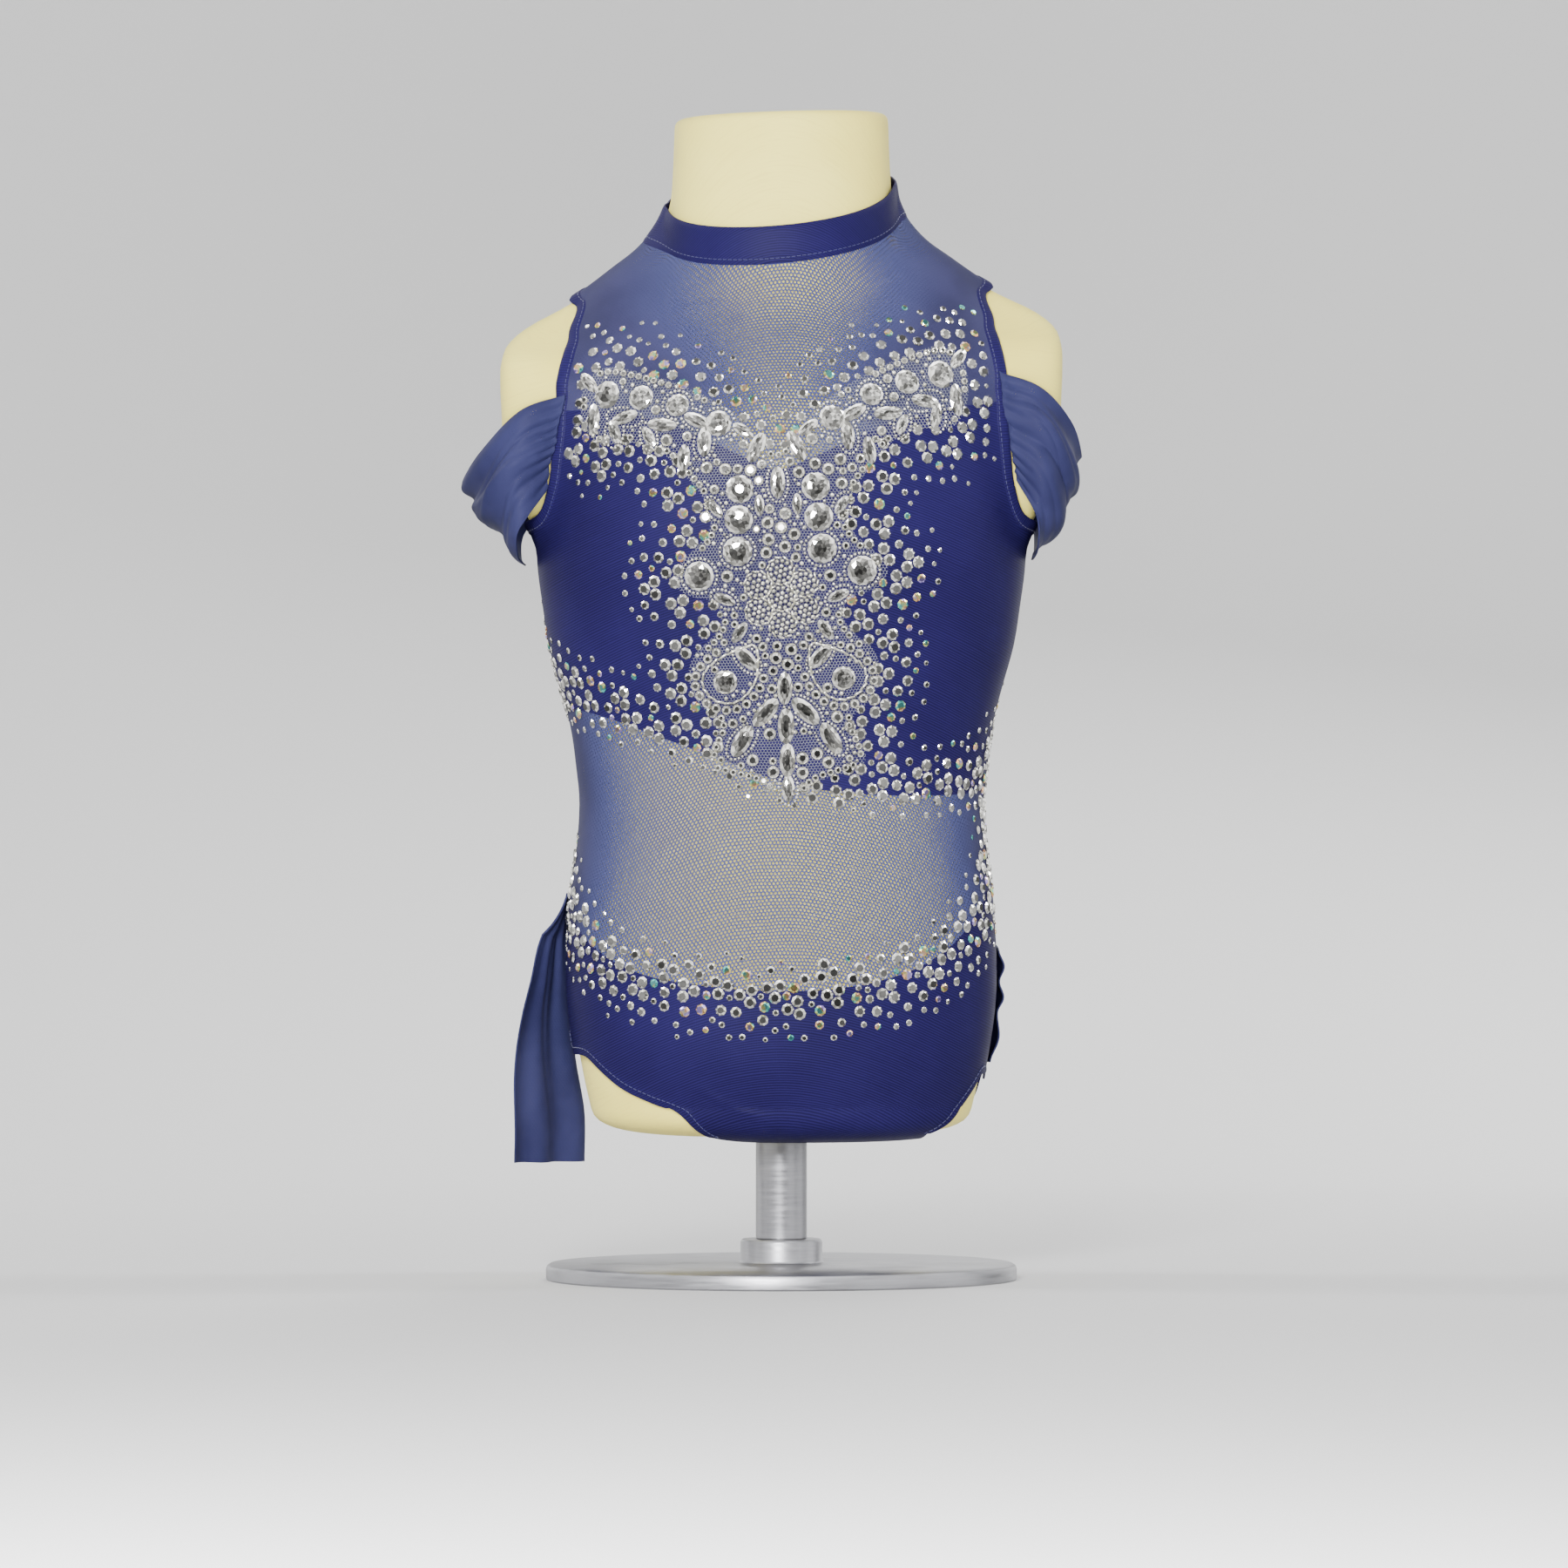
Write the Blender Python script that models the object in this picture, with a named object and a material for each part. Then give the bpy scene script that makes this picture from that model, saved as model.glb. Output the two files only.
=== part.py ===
"""A dance leotard on a limbless dress form, each cut piece a wall of its own.

Run with: blender --background --python part.py
Sizes are in millimetres and are turned into metres when a mesh is made. +X is
the viewer's right, the front faces -Y, +Z is up, and the origin is on the
floor, under the middle of the whole part.
"""

import math

import bmesh
import bpy
import numpy as np
from mathutils import Vector
from mathutils.geometry import delaunay_2d_cdt

MM = 0.001

# Where the form stands
FORM_BOTTOM = 70.0
FORM_TOP = 498.0
FORM_X = 5.0
LEAN = 0.031
LEAN_HEIGHTS = (300.0, 390.0)

# Cloth over the form
CLOTH_GAP = 1.8
CLOTH_WALL = 1.2
COLLAR_WALL = 1.6
BINDING_WALL = 1.7
BINDING_WIDTH = 6.2
COLLAR_HEIGHT = 18.4
SEAM_GAP = 0.3
APPLIQUE_CLEARANCE = 0.45
APPLIQUE_WALL = 1.1
OVERLAY_CLEARANCE = 4.4
SEATED_CLEARANCE = 3.6
MESH_WALL = 1.2

# Three lobes, as height, half width, depth to the front, depth to the back; the form's
# skin lies FORM_EASE inside them
TRUNK = (
    (16, 94, 58, 66), (25, 96.2, 61, 70), (36, 98.4, 64, 75), (50, 100.8, 66, 80),
    (70, 103, 67, 82), (90, 103, 68, 80), (105, 102.3, 69, 76), (120, 101, 70, 71),
    (135, 98.6, 70, 66), (150, 97.2, 69, 62), (165, 96.7, 67.5, 60), (180, 98.2, 67, 60),
    (200, 101, 68, 62), (220, 106, 70, 65), (240, 111.6, 73, 68), (260, 114.8, 75.5, 71),
    (280, 117.3, 77, 73.5), (300, 117, 77, 75), (320, 115, 75.5, 75.5), (340, 113.5, 72, 75),
    (360, 112, 66, 73), (375, 112, 59, 68), (388, 110, 51.5, 61), (399.6, 104, 44, 53),
    (408, 98.5, 38, 46), (415.7, 92, 33, 39), (424.3, 82, 27, 32), (432.8, 70, 21, 24),
    (441.3, 60, 14, 15), (449.8, 51, 8, 8), (460, 40, 5, 5), (475, 30, 4, 4),
)
NECK = (
    (330, 30, 30, 30), (360, 50, 44, 50), (400, 55, 46, 53), (424, 56.5, 47, 54),
    (441, 56, 46.5, 54), (454, 54.3, 46, 54), (470, 53.4, 46, 53.5), (497, 52.3, 46, 53),
)
SHOULDER_CAP = (
    (282, 60, 10, 10), (290, 92, 18, 18), (300, 111, 26, 26), (311, 121.5, 31, 31),
    (325, 130, 34, 34), (340, 134, 36, 36), (348.5, 134.3, 36, 36), (357, 134.8, 36, 36),
    (370, 135.4, 36, 36), (382.6, 134.8, 30, 30), (391, 131.4, 20, 20), (399.6, 119.8, 13, 13),
    (408, 99, 8, 8), (415, 80, 6, 6), (430, 40, 4, 4),
)
TRUNK_SQUARENESS = 2.25
NECK_SQUARENESS = 2.1
CAP_SQUARENESS = 5.0
LOBE_BLEND = 9.0
FORM_EASE = 0.8

# The rounded underside, and the ray centre that the cloth below it is charted from
UNDERSIDE_HEIGHT = 22.0
UNDERSIDE_SQUARENESS = 4.0
RAY_CENTRE = 60.0
GIRTH_STRETCH = 1.5

# Side seams, as heights
LEFT_LEG, LEFT_BRIEF_TOP, LEFT_HEM = 53.0, 128.0, 212.0
RIGHT_LEG, RIGHT_HEM = 41.0, 170.0
RISER_T, RISER_HEM = 84.0, 169.3

# Seams on the front, as x and height
NECKLINE = ((-80, 353), (-60, 348), (-40, 340), (-20, 330), (-2, 323),
            (16, 329), (36, 338), (56, 346), (78, 351))
HEM = ((-84, 205), (-58, 195), (-28.5, 184), (3.4, 172), (27, 168), (52, 166.4), (76, 166.6))
BRIEF_TOP = ((-97.4, 104), (-84, 89), (-67, 80.4), (-41, 75.3), (-20, 73.2), (5.5, 72.3),
             (27, 73.6), (48, 77.4), (65, 83.4), (80, 93.2), (90.6, 106))
RISER = ((97, 121),)
RISER_SIDE = ((79, 137), (82.5, 155))
LEFT_LEG_FRONT = ((-100, 46), (-91, 39), (-84, 32), (-76, 25.5), (-62, 18.7), (-47, 12))
RIGHT_LEG_FRONT = ((82.5, 12), (87, 18.7), (91.5, 25.5), (94.5, 31))
LEFT_LEG_BACK = ((-53, 7), (-69, 14), (-85, 25), (-95, 38))
RIGHT_LEG_BACK = ((96, 32), (92, 20), (85, 10))
BACK_YOKE_EDGE = ((70, 357), (35, 359), (0, 360), (-35, 359), (-70, 357))

# The gusset under the form, as x and y
GUSSET_FRONT = ((-33, -44), (0, -43), (35, -39), (70, -30))
RIGHT_LEG_UNDER = ((76, -30.5),)
GUSSET_BACK = ((-35, 48), (0, 52), (40, 43), (70, 31))
GUSSET_LEFT = ((-33, -44), (-10, -31), (11, -16), (18, 1), (11, 19), (-11, 35), (-35, 48))
GUSSET_RIGHT = ((70, -30), (67.5, -15), (67, 0), (67.5, 15), (70, 31))

# The armhole's arm side, as x and height from the underarm to the V line, and on to the ridge
UNDERARM, RIDGE = 300.0, 412.0
ARMHOLE_LOW = ((115, 306), (112, 316), (110.5, 328), (109.5, 342), (109, 355))
ARMHOLE_HIGH = ((108.5, 365), (106, 380), (102, 395), (98.5, 405))

# Sleeve guide lines: for each station the top, the belly and the lower edge
SLEEVE_RIGHT = (
    ((105, -41, 369), (109, -41, 345), (113, -37, 321)),
    ((126, -42, 361), (129, -45, 334), (124, -42, 300)),
    ((141, -26, 345), (140, -30, 312), (125, -28, 286)),
    ((146.4, 4, 331), (139, 4, 306), (123, 4, 281)),
)
SLEEVE_LEFT = (
    ((-104, -41, 363), (-109, -41, 339), (-114, -37, 316)),
    ((-126, -43, 355), (-131, -46, 327), (-126, -42, 297)),
    ((-146, -27, 334), (-143, -30, 308), (-127, -28, 284)),
    ((-155.3, 4, 320), (-147, 4, 304), (-124, 4, 280)),
)
SLEEVE_MIRROR_Y = 8.0
SLEEVE_WAVES = 2.4
SLEEVE_WAVE_DEPTH = 1.8

# The tail's two edges, as x, y and height from the hip down
TAIL_OUTER = ((-106.5, -5, 118.7), (-113, -4, 105), (-117.9, -3, 93), (-121.7, -1, 76),
              (-126, 1, 59), (-129, 4, 42), (-130.2, 6, 25), (-129.8, 9, 2), (-130.2, 12, -13.6))
TAIL_INNER = ((-106, 17, 118), (-106, 20, 100), (-105, 26, 80), (-104, 34, 60),
              (-101, 40, 35), (-97, 44, 10), (-97, 45, -14))
TAIL_SEWN_SHARE = 0.2
TAIL_FOLDS = 2.0
TAIL_FOLD_DEPTH = 1.6

# The drape over the seat: direction, middle height and half width
DRAPE = ((93, 68, 22), (120, 72, 26), (180, 86, 30), (225, 98, 22), (249, 105, 15))
DRAPE_FOLDS = 3.0
DRAPE_FOLD_DEPTH = 2.4

# The applique's right half from the V down to its tip, as x and height
APPLIQUE_EDGE = (
    (0, 330), (8, 338), (20, 352), (34, 361), (50, 369), (66, 375), (82, 379), (92, 370),
    (93, 353), (85, 338), (72, 340), (62, 338), (52, 332), (44, 322), (36, 312), (31, 300),
    (36, 290), (48, 280), (52, 273), (46, 264), (32, 262), (28, 252), (34, 243), (44, 236),
    (46, 222), (40, 210), (30, 203), (36, 192), (38, 180), (26, 176), (12, 172), (8, 166),
    (0, 163),
)
# Its large stones, as x, height and radius
STONES = ((18, 314, 7.2), (19, 299.5, 7.2), (20, 284.5, 7.4), (38.5, 273.5, 7.4),
          (27, 346, 6.8), (46, 356, 6.5), (63, 361, 6.8), (79, 364, 7.2), (29, 223, 6.8))
BOSS = (0, 262, 15)
STONE_RISE = 0.42
APPLIQUE_CENTRE = (-2.0, 322.0)
APPLIQUE_TURN = math.radians(2.0)
APPLIQUE_SPACING = 12.5
APPLIQUE_EDGE_MARGIN = 3.5
INSIDE_ONLY = 1

# The form's mesh: directions in a quarter, shares of the underside's reach, heights
FORM_COLUMNS = (0, 11, 22, 32, 42, 51, 58, 64, 69, 74, 79, 84.5, 90)
UNDERSIDE_SHARES = (0.3, 0.65, 0.84, 0.935, 0.983)
FORM_RINGS = (22, 55, 90, 130, 170, 210, 245, 268, 280, 289, 297, 304, 312, 322, 334, 348, 362,
              374, 384, 392, 399, 405, 411, 419, 427, 435, 443, 453, 470)

# Rows and stations of the panels
ARMHOLE_STEPS = 8
BRIEF_ROWS = 13
BACK_ROWS = 16
CROWDING = 1.5
BOW_FADE = 3.0

# Stand
BASE_RADIUS = 115.0
BASE_HEIGHT = 8.0
BASE_ROUNDING = 2.5
BOSS_RADIUS = 20.0
BOSS_HEIGHT = 20.0
POLE_RADIUS = 12.5

# Colours, as sRGB, with roughness and metallic value
FINISHES = {
    "navy_stretch": ((52, 58, 120), 0.42, 0.0),
    "navy_mesh": ((72, 80, 128), 0.6, 0.0),
    "crystal": ((205, 208, 214), 0.12, 0.6),
    "form_cloth": ((232, 222, 178), 0.8, 0.0),
    "stand_metal": ((150, 150, 152), 0.35, 0.8),
}


def clear_scene():
    for item in list(bpy.data.objects):
        bpy.data.objects.remove(item, do_unlink=True)


def make_material(name):
    colour, roughness, metallic = FINISHES[name]
    linear = [((c / 255 + 0.055) / 1.055) ** 2.4 for c in colour]
    material = bpy.data.materials.new(name)
    material.use_nodes = True
    shader = material.node_tree.nodes["Principled BSDF"]
    shader.inputs["Base Color"].default_value = (*linear, 1.0)
    shader.inputs["Roughness"].default_value = roughness
    shader.inputs["Metallic"].default_value = metallic
    return material


def smooth_curve(places, values):
    """A smooth function through the rows of a table, level past its two ends."""
    places = np.asarray(places, float)
    values = np.asarray(values, float)
    slopes = np.gradient(values, places, axis=0)

    def read(place):
        place = np.clip(place, places[0], places[-1])
        row = np.clip(np.searchsorted(places, place, side="right") - 1, 0, len(places) - 2)
        step = places[row + 1] - places[row]
        u = (place - places[row]) / step
        if values.ndim > 1:
            u = u[..., None]
            step = step[..., None]
        return ((2 * u**3 - 3 * u**2 + 1) * values[row] + (u**3 - 2 * u**2 + u) * step * slopes[row]
                + (3 * u**2 - 2 * u**3) * values[row + 1] + (u**3 - u**2) * step * slopes[row + 1])

    return read


def make_lobe(table, squareness):
    columns = np.asarray(table, float).T
    half_width, front, back = (smooth_curve(columns[0], c) for c in columns[1:])
    return half_width, front, back, squareness


LOBES = (
    make_lobe(TRUNK, TRUNK_SQUARENESS),
    make_lobe(NECK, NECK_SQUARENESS),
    make_lobe(SHOULDER_CAP, CAP_SQUARENESS),
)


def section_radius(angle, height):
    """Distance from the axis to the form's skin, one level section at a time."""
    across = np.abs(np.sin(angle))
    ahead = np.cos(angle)
    total = 0.0
    for half_width, front, back, power in LOBES:
        depth = np.where(ahead > 0, front(height), back(height))
        reach = ((across / half_width(height)) ** power + (np.abs(ahead) / depth) ** power) ** (-1 / power)
        total = total + reach**LOBE_BLEND
    return total ** (1 / LOBE_BLEND) - FORM_EASE


def field(points):
    """1 on the form's skin, less inside and more outside."""
    x, y, z = points[..., 0], points[..., 1], points[..., 2]
    reach = np.hypot(x, y) / section_radius(np.arctan2(x, -y), z)
    drop = np.clip((UNDERSIDE_HEIGHT - z) / UNDERSIDE_HEIGHT, 0, None)
    power = UNDERSIDE_SQUARENESS
    return (reach**power + drop**power) ** (1 / power)


def gradient(points):
    step = 0.05
    parts = []
    for axis in range(3):
        shift = np.zeros(3)
        shift[axis] = step
        parts.append((field(points + shift) - field(points - shift)) / (2 * step))
    return np.stack(parts, axis=-1)


def normal(points):
    slope = gradient(points)
    return slope / np.linalg.norm(slope, axis=-1, keepdims=True)


def settle(points, clearance=0.0):
    """Points moved onto the skin, or onto a shell a little way outside it."""
    for _ in range(6):
        slope = gradient(points)
        size = np.linalg.norm(slope, axis=-1, keepdims=True)
        away = (field(points)[..., None] - 1) / size
        points = points + slope / size * (clearance - away)
    return points


def keep_clear(points, least):
    """Points pushed out where they come nearer to the form than the least distance."""
    for _ in range(4):
        slope = gradient(points)
        size = np.linalg.norm(slope, axis=-1, keepdims=True)
        away = (field(points)[..., None] - 1) / size
        points = points + slope / size * np.clip(least - away, 0, None)
    return points


def bisect(inside, low, high):
    """The place between two arrays where a test turns from true to false."""
    for _ in range(44):
        middle = (low + high) / 2
        keep = inside(middle)
        low = np.where(keep, middle, low)
        high = np.where(keep, high, middle)
    return (low + high) / 2


def skin(chart):
    """Chart places, as direction in degrees and height, put on the form's skin."""
    turn = np.radians(chart[..., 0])
    rise = chart[..., 1]
    angle = np.arctan2(GIRTH_STRETCH * np.sin(turn), np.cos(turn))
    dip = np.clip((RAY_CENTRE - rise) / RAY_CENTRE, 0, None)
    ray = np.stack([np.cos(dip) * np.sin(angle), -np.cos(dip) * np.cos(angle), -np.sin(dip)], axis=-1)
    centre = np.stack([0 * rise, 0 * rise, np.maximum(rise, RAY_CENTRE)], axis=-1)
    reach = bisect(lambda s: field(centre + s[..., None] * ray) < 1, 0 * rise, 0 * rise + 400)
    return centre + reach[..., None] * ray


def chart_of(points, back=False):
    """The chart places of points on the skin; behind the sides the directions run 90 to 270."""
    points = np.asarray(points, float)
    x, y, z = points[..., 0], points[..., 1], points[..., 2]
    angle = np.arctan2(x, -y)
    turn = np.degrees(np.arctan2(np.sin(angle) / GIRTH_STRETCH, np.cos(angle)))
    if back:
        turn = np.mod(turn, 360)
    dip = np.arctan2(RAY_CENTRE - z, np.hypot(x, y))
    return np.stack([turn, np.where(z >= RAY_CENTRE, z, RAY_CENTRE * (1 - dip))], axis=-1)


def facing(pairs, side):
    """Skin points at given x and height, on the front (-1) or the back (+1)."""
    pairs = np.asarray(pairs, float)
    x, z = pairs[..., 0], pairs[..., 1]
    depth = bisect(lambda d: field(np.stack([x, side * d, z], axis=-1)) < 1, 0 * x, 0 * x + 200)
    return np.stack([x, side * depth, z], axis=-1)


def underside(pairs):
    """Skin points at given x and y, under the form."""
    pairs = np.asarray(pairs, float)
    x, y = pairs[..., 0], pairs[..., 1]
    depth = bisect(lambda d: field(np.stack([x, y, RAY_CENTRE - d], axis=-1)) < 1, 0 * x, 0 * x + RAY_CENTRE)
    return np.stack([x, y, RAY_CENTRE - depth], axis=-1)


def front_chart(pairs):
    return chart_of(facing(pairs, -1))


def back_chart(pairs):
    return chart_of(facing(pairs, 1), back=True)


def under_chart(pairs, back=False):
    return chart_of(underside(pairs), back=back)


def spaced(places, count, lift=skin, crowding=1.0):
    """Stations spaced in real length along a smooth line, crowded at its start where over 1."""
    places = np.asarray(places, float)
    rough = lift(places)
    run = np.concatenate([[0], np.cumsum(np.linalg.norm(np.diff(rough, axis=0), axis=1))])
    line = smooth_curve(run, places)
    fine_run = np.linspace(0, run[-1], 240)
    fine = lift(line(fine_run))
    length = np.concatenate([[0], np.cumsum(np.linalg.norm(np.diff(fine, axis=0), axis=1))])
    share = np.linspace(0, 1, count + 1) ** crowding
    return line(np.interp(share * length[-1], length, fine_run))


def chain(*runs):
    """Runs of stations joined end to end."""
    joined = [runs[0]]
    for run in runs[1:]:
        joined.append(run[1:])
    return np.concatenate(joined)


def patch(bottom, top, left, right, crowding=1.0, fade=BOW_FADE):
    """A grid between four edges that meet at their corners; the side edges' bows fade inwards."""
    v = (np.linspace(0, 1, len(left)) ** crowding)[:, None, None]
    u = np.linspace(0, 1, len(bottom))[None, :, None]
    flat_left = (1 - v) * bottom[0] + v * top[0]
    flat_right = (1 - v) * bottom[-1] + v * top[-1]
    ruled = (1 - v) * bottom + v * top
    left_bow = left[:, None] - flat_left
    right_bow = right[:, None] - flat_right
    return ruled + (1 - u) ** fade * left_bow + u**fade * right_bow


def draw_in(points, amount, round_trip=False):
    """Draws the edges of a grid in, square to each edge, so that seams keep their gap."""
    moved = points.copy()
    turned = [(points, moved)]
    if not round_trip:
        turned.append((points.swapaxes(0, 1), moved.swapaxes(0, 1)))
    for grid, target in turned:
        for edge, inner in ((0, 1), (-1, -2)):
            along = np.gradient(grid[edge], axis=0)
            if round_trip:
                along = np.roll(grid[edge], -1, axis=0) - np.roll(grid[edge], 1, axis=0)
            inward = grid[inner] - grid[edge]
            share = np.sum(inward * along, axis=-1) / np.sum(along * along, axis=-1)
            inward = inward - along * share[:, None]
            target[edge] += amount * inward / np.linalg.norm(inward, axis=-1, keepdims=True)
    return moved


def place(points):
    """Form coordinates to the part's own, in metres, with the shoulders' slight lean."""
    low, high = LEAN_HEIGHTS
    u = np.clip((points[..., 2] - low) / (high - low), 0, 1)
    lift = LEAN * points[..., 0] * u * u * (3 - 2 * u)
    shifted = points + np.array([FORM_X, 0, FORM_BOTTOM])
    shifted[..., 2] += lift
    return shifted * MM


def make_object(name, points, faces, material, crisp=35):
    """One closed mesh, smooth but for its crisp edges."""
    mesh = bpy.data.meshes.new(name)
    mesh.from_pydata([tuple(p) for p in points], [], faces)
    work = bmesh.new()
    work.from_mesh(mesh)
    bmesh.ops.recalc_face_normals(work, faces=work.faces)
    work.to_mesh(mesh)
    work.free()
    mesh.materials.append(material)
    mesh.shade_smooth()
    mesh.set_sharp_from_angle(angle=math.radians(crisp))
    item = bpy.data.objects.new(name, mesh)
    bpy.context.scene.collection.objects.link(item)
    return item


def make_wall(name, inner, outer, material, ring=False):
    """A cloth wall between two grids of form coordinates; a ring's columns close on themselves."""
    rows, columns = inner.shape[:2]
    count = rows * columns
    spans = columns if ring else columns - 1
    faces = []

    def add(a, b, c, d):
        faces.append((a, b, c))
        faces.append((a, c, d))

    for r in range(rows - 1):
        for c in range(spans):
            e = (c + 1) % columns
            corners = (r * columns + c, r * columns + e, (r + 1) * columns + e, (r + 1) * columns + c)
            add(*(i + count for i in corners))
            add(*corners)
    for r in (0, rows - 1):
        for c in range(spans):
            a = r * columns + c
            b = r * columns + (c + 1) % columns
            add(a, b, b + count, a + count)
    if not ring:
        for c in (0, columns - 1):
            for r in range(rows - 1):
                a = r * columns + c
                b = a + columns
                add(a, b, b + count, a + count)
    points = np.concatenate([inner.reshape(-1, 3), outer.reshape(-1, 3)])
    return make_object(name, place(points), faces, material)


def make_panel(name, chart, material, wall=CLOTH_WALL, ring=False):
    """A panel that follows the form just clear of its skin."""
    base = draw_in(skin(chart), SEAM_GAP / 2, round_trip=ring)
    away = normal(base)
    inner = base + away * CLOTH_GAP
    return make_wall(name, inner, inner + away * wall, material, ring)


def armhole_sides(side):
    """The armhole's arm edge and body edge as closed loops of stations, in four quarters."""
    low = [(side * x, h) for x, h in ARMHOLE_LOW]
    high = [(side * x, h) for x, h in ARMHOLE_HIGH]
    start = np.array([[90.0 * side, UNDERARM]])
    ridge = np.array([[90.0 * side, RIDGE]])
    rising = front_chart(low)
    quarters = [
        spaced(np.concatenate([start, rising]), ARMHOLE_STEPS),
        spaced(np.concatenate([rising[-1:], front_chart(high), ridge]), ARMHOLE_STEPS),
    ]
    back_start = np.array([[180 - 90.0 * side, UNDERARM]])
    back_ridge = np.array([[180 - 90.0 * side, RIDGE]])
    falling = back_chart(low)
    down = np.concatenate([back_ridge, back_chart(high)[::-1], falling[-1:]])
    quarters.append(spaced(down, ARMHOLE_STEPS))
    quarters.append(spaced(np.concatenate([falling[::-1], back_start]), ARMHOLE_STEPS))
    arm_edge = np.concatenate([skin(q)[:-1] for q in quarters])
    along = np.roll(arm_edge, -1, axis=0) - np.roll(arm_edge, 1, axis=0)
    away = np.cross(normal(arm_edge), along)
    away /= np.linalg.norm(away, axis=1, keepdims=True)
    middle = arm_edge.mean(axis=0)
    outward = np.sign(np.sum(away * (arm_edge - middle), axis=1, keepdims=True))
    body_edge = settle(arm_edge + away * outward * BINDING_WIDTH)
    return arm_edge, body_edge


def armhole_run(body_edge, side, quarter):
    """Chart stations of one quarter of a body edge, from the underarm or ridge on."""
    first = quarter * ARMHOLE_STEPS
    rows = [(first + i) % len(body_edge) for i in range(ARMHOLE_STEPS + 1)]
    run = chart_of(body_edge[rows], back=quarter >= 2)
    edge = 90.0 * side if quarter < 2 else 180 - 90.0 * side
    if quarter in (0, 2):
        run[0, 0] = edge
    else:
        run[-1, 0] = edge
    return run


def collar_height(turn):
    """Height of the collar's lower edge, lowest at the front and higher on the wearer's left."""
    t = np.radians(turn)
    return 439.1 - 12.6 * np.cos(t) + 4.15 * np.sin(t) - 2.7 * np.cos(2 * t)


def collar_line(start, end, count):
    turns = np.linspace(start, end, count + 1)
    return np.stack([turns, collar_height(turns)], axis=-1)


def side_line(turn, low, high, count, crowding=1.0):
    places = [(turn, low), (turn, (low + high) / 2), (turn, high)]
    return spaced(places, count, crowding=crowding)


def build_seams():
    """Every seam line, made once, so that the pieces on its two sides share their stations."""
    seams = {}
    for name, side in (("left", -1), ("right", 1)):
        arm_edge, body_edge = armhole_sides(side)
        seams[name + "_arm_edge"] = arm_edge
        seams[name + "_body_edge"] = body_edge
        for quarter in range(4):
            seams[f"{name}_armhole_{quarter}"] = armhole_run(body_edge, side, quarter)
        ridge = seams[name + "_armhole_1"][-1]
        turn = 90.0 * side
        seams[name + "_shoulder"] = side_line(turn, ridge[1], collar_height(turn), 3)
        back_turn = 180 - turn
        back = seams[name + "_shoulder"].copy()
        back[:, 0] = back_turn
        seams[name + "_shoulder_back"] = back

    left_end = seams["left_armhole_0"][-1:]
    right_end = seams["right_armhole_0"][-1:]
    seams["neckline"] = spaced(np.concatenate([left_end, front_chart(NECKLINE), right_end]), 22)

    hem_corner = np.array([[RISER_T, RISER_HEM]])
    left_hem = np.array([[-90.0, LEFT_HEM]])
    seams["hem"] = spaced(np.concatenate([left_hem, front_chart(HEM), hem_corner]), 20)
    seams["riser_top"] = spaced(np.array([[RISER_T, RISER_HEM], [90.0, RIGHT_HEM]]), 2)

    left_brief = np.array([[-90.0, LEFT_BRIEF_TOP]])
    brief_top = front_chart(BRIEF_TOP)
    seams["brief_top"] = spaced(np.concatenate([left_brief, brief_top]), 20)
    riser = np.concatenate([brief_top[-1:], front_chart(RISER), np.array(RISER_SIDE, float), hem_corner])
    seams["riser"] = spaced(riser, 8)

    front = under_chart(GUSSET_FRONT)
    back = under_chart(GUSSET_BACK[::-1], back=True)
    left_leg = np.array([[-90.0, LEFT_LEG]])
    right_leg = np.array([[90.0, RIGHT_LEG]])
    seams["left_leg_front"] = spaced(np.concatenate([left_leg, front_chart(LEFT_LEG_FRONT), front[:1]]), 13)
    seams["gusset_front"] = spaced(front, 8)
    rising = [front[-1:], under_chart(RIGHT_LEG_UNDER), front_chart(RIGHT_LEG_FRONT), right_leg]
    seams["right_leg_front"] = spaced(np.concatenate(rising), 9)
    right_back = np.array([[90.0, RIGHT_LEG]])
    left_back = np.array([[270.0, LEFT_LEG]])
    seams["right_leg_back"] = spaced(np.concatenate([right_back, back_chart(RIGHT_LEG_BACK), back[:1]]), 6)
    seams["gusset_back"] = spaced(back, 8)
    rising = np.concatenate([back[-1:], back_chart(LEFT_LEG_BACK), left_back])
    seams["left_leg_back"] = spaced(rising, 8, crowding=1.6)
    return seams


def build_front(seams, materials):
    left_under = seams["left_armhole_0"][0, 1]
    right_under = seams["right_armhole_0"][0, 1]
    yoke = patch(
        seams["neckline"],
        collar_line(-90, 90, 22),
        chain(seams["left_armhole_1"], seams["left_shoulder"]),
        chain(seams["right_armhole_1"], seams["right_shoulder"]),
    )
    make_panel("front_yoke", yoke, materials["navy_mesh"])
    bodice = patch(
        chain(seams["hem"], seams["riser_top"]),
        seams["neckline"],
        chain(side_line(-90, LEFT_HEM, left_under, 6), seams["left_armhole_0"]),
        chain(side_line(90, RIGHT_HEM, right_under, 6), seams["right_armhole_0"]),
    )
    make_panel("front_bodice", bodice, materials["navy_stretch"])
    midriff = patch(
        seams["brief_top"],
        seams["hem"],
        side_line(-90, LEFT_BRIEF_TOP, LEFT_HEM, 8),
        seams["riser"],
    )
    make_panel("front_midriff", midriff, materials["navy_mesh"])
    brief = patch(
        chain(seams["left_leg_front"], seams["gusset_front"], seams["right_leg_front"]),
        chain(seams["brief_top"], seams["riser"], seams["riser_top"]),
        side_line(-90, LEFT_LEG, LEFT_BRIEF_TOP, BRIEF_ROWS, CROWDING),
        side_line(90, RIGHT_LEG, RIGHT_HEM, BRIEF_ROWS, CROWDING),
        CROWDING,
    )
    make_panel("front_brief", brief, materials["navy_stretch"])


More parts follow.
